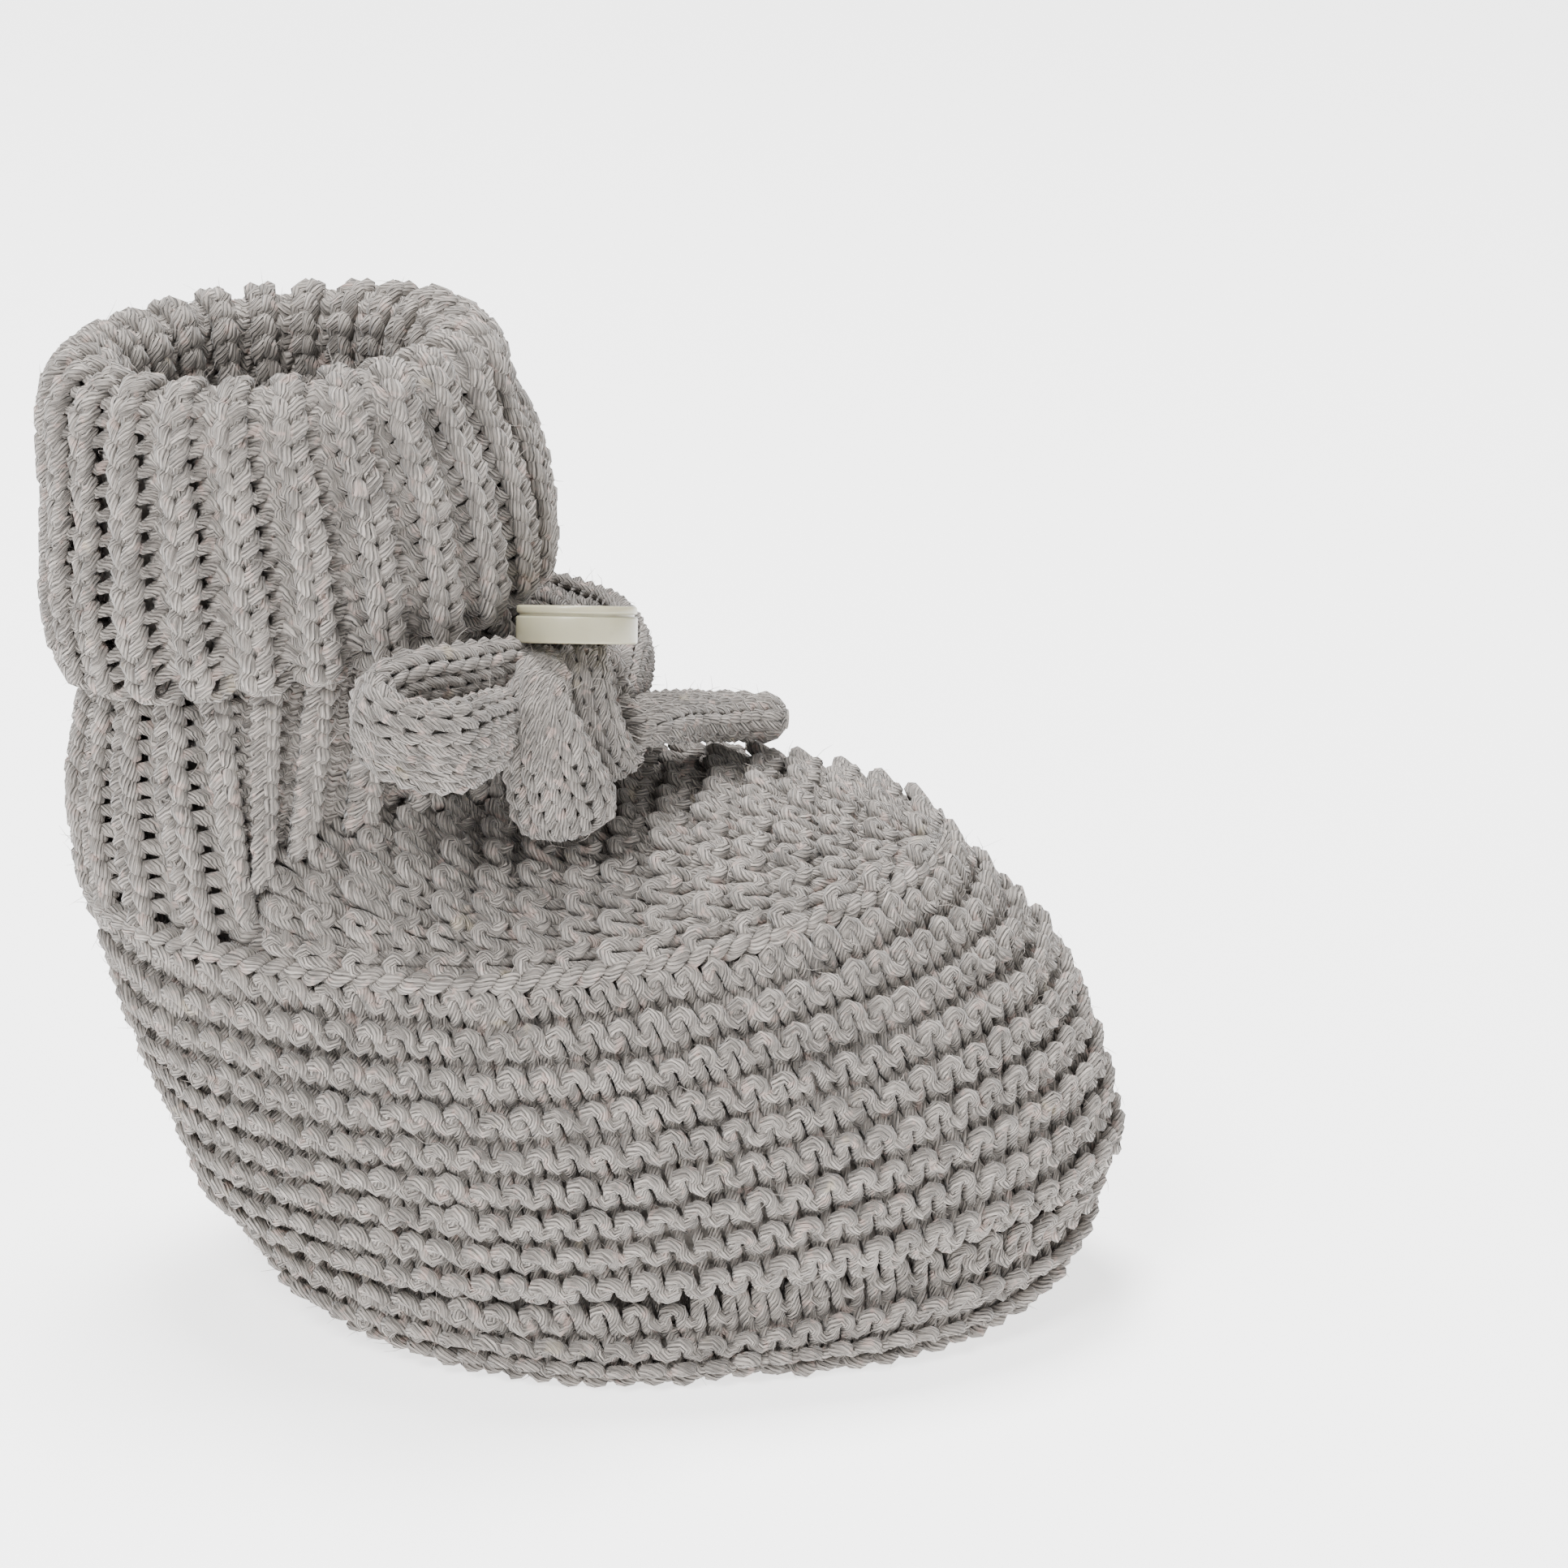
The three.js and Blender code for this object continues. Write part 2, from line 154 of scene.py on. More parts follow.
def seam_height(y):
    """Height of the side's top edge."""
    share = np.clip((SEAM["wide"] - y) / (SEAM["wide"] - SEAM["toe"]), 0, 1)
    return SEAM["z"] + SEAM["rise"] * share**1.5


def seam_half(y):
    """Half the width of the foot at the side's top edge."""
    reach = np.where(y > SEAM["wide"], SEAM["heel"] - SEAM["wide"], SEAM["wide"] - SEAM["toe"])
    return SEAM["half"] * np.sqrt(np.clip(1 - ((y - SEAM["wide"]) / reach) ** 2, 0, 1))


def band_point(angle, v):
    """The side, from its fold, v = 0, to its top edge, v = 1."""
    return bend(*(loop_point(loop, angle) for loop in (FOLD, SWELL, SEAM)), np.expand_dims(v, -1))


def sole_edge_point(angle, v):
    """The rounded edge of the sole, from the flat underside, v = 0, to the fold, v = 1."""
    rows = (loop_point(SOLE, angle), loop_point(UNDER, angle), loop_point(FOLD, angle, SOLE_TUCK))
    return bend(*rows, np.expand_dims(v, -1))


def shoulder(s):
    """Extra height of the instep's two shoulders, at a share s of its half width."""
    return SHOULDER * 4 * s * s * (1 - s * s)


def join_point(q):
    """The line where the ribbing meets the instep, q = -1 to 1 across the foot."""
    s, drop = np.sin(q * math.pi / 2), np.maximum(0, np.cos(q * math.pi / 2))
    y = JOIN_BACK - (JOIN_BACK - JOIN_FRONT) * drop**2.2
    return point(seam_half(JOIN_BACK) * s, y, mix(seam_height(JOIN_BACK), CREST, drop**0.4) + shoulder(s))


def crest_height(y):
    """Height of the instep's middle line, which falls to the toe past its brow."""
    fall = np.clip((BROW - y) / (BROW - SEAM["toe"]), 0, 1)
    end = SEAM["z"] + SEAM["rise"]
    return end + (CREST - end) * np.maximum(0, 1 - fall**2) ** 0.7


def instep_point(s, t):
    """The instep, s = -1 to 1 across and t = 0 to 1 from the join to the toe."""
    join = join_point(2 / math.pi * np.arcsin(np.clip(s, -1, 1)))
    y = mix(join[..., 1], SEAM["toe"], t)
    edge = mix(JOIN_BACK, SEAM["toe"], t)
    early = np.clip(2.5 * t, 0, 1)
    arch = np.maximum(0, 1 - s * s) ** mix(0.2, 0.7, early)
    z = mix(seam_height(edge), crest_height(y), arch) + shoulder(np.clip(s, -1, 1)) * (1 - early) ** 2
    return point(seam_half(edge) * s, y, z)


def ring_point(turn, out, up, drop=0.0):
    """A point on a tilted ring, between the ankle ring, up = 0, and the mouth, up = 1."""
    stretch = mix(ANKLE["long"] - ANKLE["half"], 0, np.clip(up, 0, 1))
    y = (out + stretch) * np.cos(turn)
    z = mix(ANKLE["z"], MOUTH["z"], up) - drop - mix(ANKLE["tilt"], MOUTH["tilt"], up) * y
    return point(out * np.sin(turn), mix(ANKLE["y"], MOUTH["y"], up) + y, z)


def rib_foot(turn):
    """Lower edge of the ribbing: the back of the side's top edge, then the join over the front."""
    angle = np.arctan2(np.sin(turn), np.cos(turn))
    heel_turn = math.acos((JOIN_BACK - SEAM["wide"]) / (SEAM["heel"] - SEAM["wide"]))
    past = np.sign(angle) * (math.pi - np.abs(angle)) / (math.pi - JOIN_TURN)
    on_side = np.abs(angle) < JOIN_TURN
    side = loop_point(SEAM, angle / JOIN_TURN * heel_turn)
    return np.where(on_side[..., None], side, join_point(np.clip(past, -1, 1)))


def ankle_point(turn, v):
    """The ribbed ankle below the cuff, v = 0 at the foot and 1 under the cuff."""
    low = rib_foot(turn)
    high = ring_point(turn, ANKLE["half"], 0.0)
    middle = mix(low, high, 0.5)
    middle[..., 1] += HEEL_SWELL * np.maximum(0, np.cos(turn)) ** 1.5
    return bend(low, middle, high, np.expand_dims(v, -1))


# The cuff's profile from its lower edge up its face, over the fold and down inside the ankle:
# the distance out, the share of the way up and the drop below it.
ROLL_MIDDLE, ROLL_HALF = (MOUTH_IN + CUFF_TOP) / 2, (CUFF_TOP - MOUTH_IN) / 2
CUFF_PROFILE = np.array(
    [(CUFF_OUT - 0.9, -0.02, 0.4), (CUFF_OUT - 0.2, 0.04, 0.0), (CUFF_OUT + 0.1, 0.25, 0.0),
     (mix(CUFF_OUT, CUFF_TOP, 0.4), 0.55, 0.0)]
    + [(ROLL_MIDDLE + ROLL_HALF * math.cos(a), 1.0, ROLL_HIGH * (1 - math.sin(a)))
       for a in np.linspace(0, math.pi, 11)]
    + [(MOUTH_IN + 0.4, 0.6, 0.0), (MOUTH_IN + 1.8, 0.3, 0.0), (MOUTH_IN + 2.8, 0.0, 0.0)]
)


def cuff_lengths():
    """Distance along the cuff's profile to each of its points."""
    out, up, drop = CUFF_PROFILE.T
    return lengths(np.stack([out, up * (MOUTH["z"] - ANKLE["z"]) - drop], 1))


CUFF_ALONG = cuff_lengths()
FOLD_START = 9  # the point of the profile at the top of the fold


def cuff_point(turn, v):
    """The cuff, v = 0 at its lower edge and 1 inside the ankle."""
    out, up, drop = (np.interp(v * CUFF_ALONG[-1], CUFF_ALONG, CUFF_PROFILE[:, i]) for i in range(3))
    return ring_point(turn, out, up, drop)


def wobble(places, size):
    """Hand-knitted unevenness: slow waves that push the cloth in and out."""
    x, y, z = (places[..., i] for i in range(3))
    wave = np.sin(0.31 * x + 1.3 * np.sin(0.17 * y) + 0.4) + np.sin(0.23 * y + 0.29 * z + 1.9)
    return size * (wave + 0.7 * np.sin(0.47 * z - 0.36 * x + 0.8 * np.sin(0.21 * y)))


# ---- yarn ----------------------------------------------------------


YARN_LAID = []  # every length of yarn laid, for the loose fibres to grow from
YARN_SIDES = 6
YARN_UNEVEN = 0.07  # how much the spun yarn's thickness varies, as a share
YARN_END = 0.3  # how thick a cut end is, as a share
ABOVE_FLOOR = 1.15  # the lowest that yarn lies, in yarn radii


class Yarn:
    """Tubes of yarn gathered into one mesh, with a map that runs along and round the yarn."""

    def __init__(self, radius, seed):
        self.radius = radius
        self.random = np.random.default_rng(seed)
        self.points, self.faces, self.maps, self.strips = [], [], [], []
        self.count, self.made = 0, 0
        self.laid = []

    def add(self, centres, outward, closed, plump=1.0):
        """One length of yarn through centres, with the way out of the cloth at each."""
        n, sides = len(centres), YARN_SIDES
        centres = np.array(centres)
        centres[:, 2] = np.maximum(centres[:, 2], self.radius * plump * ABOVE_FLOOR)
        if closed:
            ahead = np.roll(centres, -1, 0) - np.roll(centres, 1, 0)
        else:
            ahead = np.gradient(centres, axis=0)
        ahead = unit(ahead)
        across = unit(np.cross(ahead, outward))
        up = np.cross(across, ahead)
        knots = max(3, n // 9)
        uneven = 1 + YARN_UNEVEN * self.random.standard_normal(knots)
        uneven[-1] = uneven[0]
        thick = self.radius * plump * np.interp(np.linspace(0, 1, n), np.linspace(0, 1, knots), uneven)
        if not closed:
            thick[[0, -1]] *= YARN_END
        angle = np.arange(sides) / sides * TURN
        ring = -np.cos(angle)[None, :, None] * up[:, None] + np.sin(angle)[None, :, None] * across[:, None]
        self.points.append((centres[:, None] + thick[:, None, None] * ring).reshape(-1, 3))
        self.laid.append(np.hstack([centres, up, ahead, thick[:, None]]))

        rows = n if closed else n - 1
        i, j = (grid.ravel() for grid in np.meshgrid(np.arange(rows), np.arange(sides), indexing="ij"))
        corners = [i * sides + j, (i + 1) % n * sides + j, (i + 1) % n * sides + (j + 1) % sides,
                   i * sides + (j + 1) % sides]
        length = lengths(np.vstack([centres, centres[:1]]))
        along = np.stack([length[i], length[i + 1], length[i + 1], length[i]], 1)
        around = np.stack([j, j, j + 1, j + 1], 1) / sides
        parts = [(np.stack(corners, 1), np.stack([along, around], -1))]
        if not closed:
            disc = np.stack([0.3 * np.cos(angle), 0.5 + 0.4 * np.sin(angle)], -1)[None]
            parts.append((np.arange(sides)[None], disc - [0.6, 0]))
            parts.append(((n - 1) * sides + np.arange(sides)[None, ::-1],
                          disc[:, ::-1] + [length[n - 1] + 0.6, 0]))
        for faces, maps in parts:
            self.faces.append(faces + self.count)
            self.maps.append(maps)
            self.strips.append(self.made)
        self.made += 1
        self.count += n * sides

    def piece(self, name, material, slot):
        """Makes the mesh, with its two maps."""
        YARN_LAID.extend(self.laid)
        mesh = bpy.data.meshes.new(name)
        points = np.concatenate(self.points) * MM
        sizes = np.concatenate([np.full(len(part), part.shape[1]) for part in self.faces])
        corners = np.concatenate([part.ravel() for part in self.faces])
        mesh.vertices.add(len(points))
        mesh.vertices.foreach_set("co", points.astype(np.float32).ravel())
        mesh.loops.add(len(corners))
        mesh.loops.foreach_set("vertex_index", corners.astype(np.int32))
        mesh.polygons.add(len(sizes))
        starts = np.concatenate([[0], np.cumsum(sizes)[:-1]])
        mesh.polygons.foreach_set("loop_start", starts.astype(np.int32))
        mesh.update(calc_edges=True)
        mesh.validate()
        flat = np.concatenate([part.reshape(-1, 2) for part in self.maps])
        mesh.uv_layers.new(name="yarn").data.foreach_set("uv", flat.astype(np.float32).ravel())
        strip = np.concatenate(
            [np.full(part.shape[0] * part.shape[1], at) for part, at in zip(self.maps, self.strips)]
        )
        longest = flat[:, 0].max() + 1.0
        sheet = np.stack([(flat[:, 0] + 1.0) / (longest + 1.0),
                          (strip + 0.06 + 0.88 * flat[:, 1]) / self.made], -1)
        mesh.uv_layers.new(name="OFBake").data.foreach_set("uv", sheet.astype(np.float32).ravel())
        mesh.shade_smooth()
        return finish_piece(bpy.data.objects.new(name, mesh), material)


def quads(grid):
    """Faces between the neighbouring rows and columns of a grid of point numbers."""
    corners = [grid[:-1, :-1], grid[1:, :-1], grid[1:, 1:], grid[:-1, 1:]]
    return np.stack(corners, -1).reshape(-1, 4).tolist()


def closed_mesh(name, points, faces):
    """A smooth mesh from points in millimetres, with its faces turned outwards."""
    mesh = bpy.data.meshes.new(name)
    mesh.from_pydata((points * MM).tolist(), [], faces)
    work = bmesh.new()
    work.from_mesh(mesh)
    bmesh.ops.recalc_face_normals(work, faces=work.faces)
    work.to_mesh(mesh)
    work.free()
    mesh.shade_smooth()
    return mesh


def read_off(at, length, values):
    """Each column of values at given distances along a line."""
    return np.stack([np.interp(at, length, column) for column in values.T], 1)


def finish_piece(piece, material):
    """Links a piece, gives it its finish and lets it ride on the bootee."""
    if piece.name not in bpy.context.collection.objects:
        bpy.context.collection.objects.link(piece)
    piece.data.materials.clear()
    piece.data.materials.append(material)
    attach(piece, "root")
    return piece


def on_cloth(surface, u, v, lift, side=1.0):
    """Places on a surface, lifted out of it, and the way out there."""
    step = 1e-3
    within = np.clip(v, 2 * step, 1 - 2 * step)
    du = surface(u + step, within) - surface(u - step, within)
    dv = surface(u, within + step) - surface(u, within - step)
    out = unit(np.cross(dv, du) * side)
    beyond = np.expand_dims((v - within) / (2 * step), -1) * dv
    return surface(u, within) + beyond + out * np.expand_dims(lift, -1), out


# How much stitches differ: in height, place along, distance out and height of a garter row, and in
# height, distance out and lean of a round of rib.
GARTER_CHANCE, RIB_CHANCE = (0.10, 0.05, 0.13, 0.07), (0.08, 0.09, 0.03)


def by_stitch(values, x, count, closed):
    """A value of each stitch, eased from one stitch to the next along the row."""
    at = np.arange(count) + 0.5
    if closed:
        return np.interp(x, at, values, period=count)
    return np.interp(x, at, values)


def garter_row(count, plain, closed, random, look):
    """Yarn of one garter row: places in stitches along, rows up and millimetres out."""
    steps = look["steps"]
    t = np.arange(count * steps + (0 if closed else 1)) / steps * TURN
    x = t / TURN
    chance = look["uneven"] * random.standard_normal((4, count))
    tall, shift, out, rise = (by_stitch(share * values, x, count, closed)
                              for share, values in zip(GARTER_CHANCE, chance))
    tall = look["tall"] * (1 + tall)
    face = -1.0 if plain else 1.0
    y = -tall * np.cos(t) + (look["gather"] if plain else -look["gather"]) + rise
    z = face * (look["deep"] * np.cos(t) - look["over"]) + out
    return x + look["swing"] * np.sin(2 * t) + shift, y, z


def rib_row(count, random, look, flat=0.0):
    """Yarn of one round of rib: a plain stitch, then a purl one, which lies deeper."""
    steps = look["steps"]
    t = np.arange(count * steps) / steps * TURN
    x = t / TURN
    purl = (np.floor(x + 1e-9) % 2).astype(bool)
    within = x - np.floor(x + 1e-9)
    tall, out, lean = (by_stitch(share * random.standard_normal(count), x, count, True)
                       for share in RIB_CHANCE)
    tall = look["tall"] * (1 + tall) * np.where(purl, look["purl_tall"], 1.0)
    y = -tall * np.cos(t) + 0.5 * lean
    loop = look["deep"] * np.cos(2 * t)
    z = np.where(purl, loop - look["sink"] * (1 - flat), look["stand"] - loop) + out
    swing = within + np.where(purl, look["purl_swing"], look["swing"]) * np.sin(2 * t) + lean
    wide = look["plain_share"]
    warped = np.where(purl, 2 * wide + (swing - lean) * 2 * (1 - wide), swing * 2 * wide)
    pair = np.floor((x + 1e-9) / 2) * 2
    plump = np.where(purl, look["purl_plump"], 1 - look["pinch"] * np.cos(2 * t))
    return pair + warped, y, z, plump


# ---- materials -----------------------------------------------------

PLIES, PLY_TWIST = 9, 0.52  # plies round the yarn, and the length in mm in which they pass one another
PLY_ROUND = 0.7  # how early a ply rises to its full height, in its bump and in the painted shade of its grooves
CORD_TONE = 0.84
ROSY, STRAW = (0.46, 0.34, 0.30, 1.0), (0.56, 0.47, 0.32, 1.0)  # colours of the stray flecks


class Nodes:
    """Short ways to add and join shader nodes."""

    def __init__(self, name):
        self.material = bpy.data.materials.new(name)
        self.material.use_nodes = True
        self.tree = self.material.node_tree
        self.tree.nodes.clear()
        self.shader = self.add("ShaderNodeBsdfPrincipled")
        output = self.add("ShaderNodeOutputMaterial")
        self.join(self.shader.outputs["BSDF"], output.inputs["Surface"])

    def add(self, kind, **settings):
        node = self.tree.nodes.new(kind)
        for key, value in settings.items():
            setattr(node, key, value)
        return node

    def join(self, source, target):
        self.tree.links.new(source, target)

    def value(self, socket, source):
        """Sets a socket, or joins another node's output to it."""
        if isinstance(source, (int, float, tuple)):
            socket.default_value = source
        else:
            self.join(source, socket)

    def made(self, kind, inputs, **settings):
        """A node with its inputs set, by name or number."""
        node = self.add(kind, **settings)
        for socket, source in inputs.items():
            self.value(node.inputs[socket], source)
        return node

    def math(self, operation, first, second=0.0):
        return self.made("ShaderNodeMath", {0: first, 1: second}, operation=operation).outputs[0]

    def noise(self, vector, scale, detail=2.0, rough=0.5):
        inputs = {"Vector": vector, "Scale": scale, "Detail": detail, "Roughness": rough}
        return self.made("ShaderNodeTexNoise", inputs).outputs["Fac"]

    def ramp(self, source, low, high):
        """Rises from 0 to 1 as the source passes from low to high."""
        inputs = {"Value": source, "From Min": low, "From Max": high}
        return self.made("ShaderNodeMapRange", inputs, clamp=True).outputs[0]

    def blend(self, share, first, second):
        inputs = {0: share, 6: first, 7: second}
        return self.made("ShaderNodeMix", inputs, data_type="RGBA").outputs[2]

    def tint(self, colour, source, limits, share, other):
        """Lays a share of another colour where the source passes between two limits."""
        return self.blend(self.math("MULTIPLY", self.ramp(source, *limits), share), colour, other)

    def place(self):
        return self.add("ShaderNodeTexCoord").outputs["Object"]

    def surface(self, settings):
        """Sets the shader's own sockets."""
        for socket, value in settings.items():
            self.shader.inputs[socket].default_value = value

    def bump(self, height, strength, distance, normal=None):
        inputs = {"Height": height, "Strength": strength, "Distance": distance}
        if normal is not None:
            inputs["Normal"] = normal
        return self.made("ShaderNodeBump", inputs).outputs["Normal"]


def shade(colour, factor):
    """A colour made lighter or darker, with its alpha."""
    return (*(min(1.0, channel * factor) for channel in colour[:3]), 1.0)


def wool_finish(name, settings, tone=1.0):
    """Melange wool: twisted plies and fine fibres along the yarn, lighter and darker hairs, flecks, and
    painted shade in the grooves between the plies.
    """
    nodes = Nodes(name)
    base = shade(settings.wool, tone)
    place = nodes.place()
    yarn = nodes.add("ShaderNodeUVMap", uv_map="yarn").outputs["UV"]
    along, around = nodes.made("ShaderNodeSeparateXYZ", {0: yarn}).outputs[:2]

    turns = nodes.math("MULTIPLY", along, 1.0 / PLY_TWIST)
    phase = nodes.math("ADD", nodes.math("MULTIPLY", around, PLIES), turns)
    ply = nodes.math("ABSOLUTE", nodes.math("SINE", nodes.math("MULTIPLY", phase, math.pi)))
    strand = nodes.made("ShaderNodeCombineXYZ", {
        0: nodes.math("MULTIPLY", phase, 2.1), 1: nodes.math("MULTIPLY", along, 0.42)})
    hairs = nodes.noise(strand.outputs[0], 1.0, 3.0, 0.6)

    colour = nodes.blend(nodes.ramp(hairs, 0.36, 0.66), shade(base, settings.dark_hair),
                         shade(base, settings.light_hair))
    patches = nodes.noise(place, 420.0, 3.0, 0.6)
    flecks = nodes.noise(place, 700.0, 2.0)
    drift = nodes.noise(place, 60.0, 2.0)
    straws = nodes.noise(place, 260.0, 3.0)
    for source, limits, share, other in (
        (patches, (0.52, 0.72), 0.6, shade(base, 1.6)),
        (patches, (0.5, 0.32), 0.62, shade(base, 0.42)),
        # painted shade: the wool is darkened where the plies dip into the grooves between them
        (ply, (PLY_ROUND, 0.0), 0.75, shade(base, 0.5)),
        (drift, (0.35, 0.7), 0.16, shade(base, 1.25)),
        (flecks, (0.60, 0.68), 0.5, ROSY),
        (straws, (0.68, 0.76), 0.35, STRAW),
    ):
        colour = nodes.tint(colour, source, limits, share, other)
    nodes.join(colour, nodes.shader.inputs["Base Color"])

    rounded = nodes.bump(nodes.ramp(ply, 0.0, PLY_ROUND), 0.8, 0.00022)
    nodes.join(nodes.bump(hairs, 0.8, 0.00018, rounded), nodes.shader.inputs["Normal"])
    nodes.surface({"Roughness": 0.92, "Specular IOR Level": 0.15, "Sheen Weight": 0.3,
                   "Sheen Roughness": 0.45})
    return nodes.material


def cord_finish(name, settings):
    """The bow's wool, a little darker."""
    return wool_finish(name, settings, CORD_TONE)


def ground_finish(name, settings):
    """The cloth behind the stitches: the same wool with fine loops, painted lighter than the yarn as
    painted light in the shaded gaps.
    """
    nodes = Nodes(name)
    place = nodes.place()
    loops = nodes.made("ShaderNodeTexVoronoi", {"Vector": place, "Scale": 620.0})
    hairs = nodes.noise(place, 1500.0, 3.0, 0.6)
    # painted light: the cloth is coloured lighter than the yarn so that the shaded gaps between stitches
    # don't read black
    colour = nodes.blend(nodes.ramp(hairs, 0.35, 0.65), shade(settings.wool, 0.9),
                         shade(settings.wool, 1.4))
    nodes.join(colour, nodes.shader.inputs["Base Color"])
    rounded = nodes.bump(loops.outputs["Distance"], 0.6, 0.0005)
    nodes.join(nodes.bump(hairs, 0.5, 0.0002, rounded), nodes.shader.inputs["Normal"])
    nodes.surface({"Roughness": 0.62, "Specular IOR Level": 0.1, "Sheen Weight": 0.2})
    return nodes.material


def button_finish(name, settings):
    """Cream button plastic, a little cloudy, with faint moulded veins."""
    nodes = Nodes(name)
    base = tuple(settings.button)
    place = nodes.place()
    cloud = nodes.noise(place, 180.0, 3.0)
    vein = nodes.noise(place, 520.0, 4.0, 0.7)
    colour = nodes.blend(nodes.ramp(cloud, 0.3, 0.7), shade(base, 0.9), shade(base, 1.08))
    colour = nodes.tint(colour, vein, (0.56, 0.66), 0.25, shade(base, 0.82))
    nodes.join(colour, nodes.shader.inputs["Base Color"])
    nodes.join(nodes.bump(vein, 0.12, 0.0001), nodes.shader.inputs["Normal"])
    nodes.surface({"Roughness": 0.34, "Coat Weight": 0.15, "Subsurface Weight": 0.25,
                   "Subsurface Radius": (0.004, 0.003, 0.0018), "Subsurface Scale": 0.5})
    return nodes.material


def finish(name, maker):
    """A finish by name, made once."""
    return bpy.data.materials.get(name) or maker(name, bpy.context.scene.bootee_colours)


# ---- cloth walls ---------------------------------------------------


# Where the sole's edge is drawn in: the turn from the heel, its spread, and how far in, in mm.
TUCK = dict(turn=2.10, spread=0.38, least=0.4, most=3.6)


def tucked_edge(angle, v):
    """The sole's edge, drawn in under the side where the side folds over it beside the toe."""
    from_heel = np.abs(np.arctan2(np.sin(angle), np.cos(angle)))
    beside = np.exp(-((from_heel - TUCK["turn"]) / TUCK["spread"]) ** 2)
    inward = mix(TUCK["least"], TUCK["most"], beside) * np.clip((v - 0.35) / 0.65, 0, 1) ** 1.5
    place = sole_edge_point(angle, v)
    centre = point(0 * angle, SOLE["wide"], place[..., 2])
    return place + unit(centre - place) * inward[..., None]


def bowl_point(angle, v):
    """The sole from the middle of its underside, v = 0, out to its fold, v = 1."""
    middle = point(0.0 * angle, mix(SOLE["heel"], SOLE["toe"], 0.5), 0.0)
    flat = mix(middle, loop_point(SOLE, angle), np.expand_dims(2 * v, -1))
    return np.where(np.expand_dims(v < 0.5, -1), flat, tucked_edge(angle, 2 * v - 1))


def cloth_wall(name, layers, node, deep=(2.1, 2.8)):
    """A thin closed wall of cloth that the stitches lie on, between two depths.

    Each layer is a surface, its turns or widths, its heights, whether it closes on itself, and the
    side of it that faces out."""
    points, faces, count = [], [], 0
    for surface, us, vs, closed, side in layers:
        u, v = np.meshgrid(us, vs, indexing="ij")
        for depth in deep:
            points.append(on_cloth(surface, u, v, np.full_like(u, -depth), side)[0].reshape(-1, 3))
        index = count + np.arange(u.size).reshape(u.shape)
        edges = [index[0], index[-1]]
        if closed:
            index = np.vstack([index, index[:1]])
            edges = []
        for edge in [index[:, 0], index[:, -1], *edges]:
            faces += quads(np.stack([edge, edge + u.size]))
        faces += quads(index) + quads(index + u.size)
        count += 2 * u.size
    mesh = closed_mesh(name, np.concatenate(points), faces)
    piece = finish_piece(bpy.data.objects.new(name, mesh), finish("knit_ground", ground_finish))
    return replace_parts(piece, node)


ROUND = np.linspace(0, TURN, 96, endpoint=False)


def even_turns(surface, v, count, samples=720):
    """Angles round a closed row that give every stitch the same width."""
    turn = np.linspace(0, TURN, samples + 1)
    length = lengths(surface(turn, np.full(samples + 1, v)))
    length /= length[-1]

    def turn_at(x):
        whole = np.floor(x / count)
        return np.interp(x / count - whole, length, turn) + whole * TURN

    return turn_at


# ---- settings ------------------------------------------------------


class BooteeSizes(bpy.types.PropertyGroup):
    """Sizes of the yarn and counts of the stitches"""

    yarn: bpy.props.FloatProperty(
        name="Yarn radius", description="Radius of the knitting yarn, mm", default=0.71)
    rib_yarn: bpy.props.FloatProperty(
        name="Rib yarn", description="Radius of the stretched yarn, mm", default=0.74)
    band_stitches: bpy.props.IntProperty(
        name="Band stitches", description="Stitches round the side", default=78)
    band_rows: bpy.props.IntProperty(
        name="Band rows", description="Garter rows up the side", default=18)
    ribs: bpy.props.IntProperty(
        name="Ribs", description="Ribs round the ankle", default=24)
    row: bpy.props.FloatProperty(
        name="Rib row", description="Height of a round of rib, mm", default=2.1)
    fuzz: bpy.props.IntProperty(
        name="Loose fibres", description="Loose fibres over the knit", default=9000)


class BooteeColours(bpy.types.PropertyGroup):
    """Colours of the wool and the button"""

    wool: bpy.props.FloatVectorProperty(
        name="Wool", description="Middle colour of the wool", subtype="COLOR", size=3,
        min=0, max=1, default=(0.256, 0.232, 0.211))
    dark_hair: bpy.props.FloatProperty(
        name="Dark hairs", description="Dark hairs, as a factor", subtype="FACTOR", default=0.26)
    light_hair: bpy.props.FloatProperty(
        name="Light hairs", description="Light hairs, as a factor", default=1.85)
    button: bpy.props.FloatVectorProperty(
        name="Button", description="Colour of the button", subtype="COLOR", size=3,
        min=0, max=1, default=(0.33, 0.31, 0.215))


# Forms of the stitches. In rows: tall, gather. In stitches: swing, plain_share. In mm out of the
# cloth: deep, over, stand, sink. As factors: uneven, purl_tall, purl_plump, pinch. Points: steps.
GARTER = dict(steps=10, tall=0.9, gather=0.1, deep=0.98, swing=0.11, over=0.25, uneven=1.1)
INSTEP = dict(GARTER, deep=0.84, uneven=1.3)
RIB = dict(steps=10, tall=0.80, deep=0.46, stand=0.6, sink=1.72, swing=0.265, purl_swing=0.17,
           plain_share=0.47, purl_tall=1.12, purl_plump=1.46, pinch=0.13)
FACE_IN, INSTEP_IN, RIB_IN = 1.4, 0.95, 1.05  # how far the stitches' middle lies inside the outline
PAST_JOIN = 0.05  # how far the instep runs on under the ribbing, as a share of its length
SHORTEST_PART = 8  # points on the shortest stretch of an instep row that is knitted
SOLE_STITCHES, SOLE_ROUNDS = 70, 8  # round the sole's edge
ANKLE_ROUNDS = 13


ROPE = dict(radius=0.78, turns=52, swing=0.55, sink=0.75)  # the twisted edge at the side's top
INSTEP_ROW, GARTER_ROW, STITCH = 1.95, 2.0, 3.1  # heights of garter rows and a stitch's width, mm
UNEVEN, RIB_UNEVEN = 0.15, 0.12  # hand-knitted unevenness, mm

# ---- stage ---------------------------------------------------------

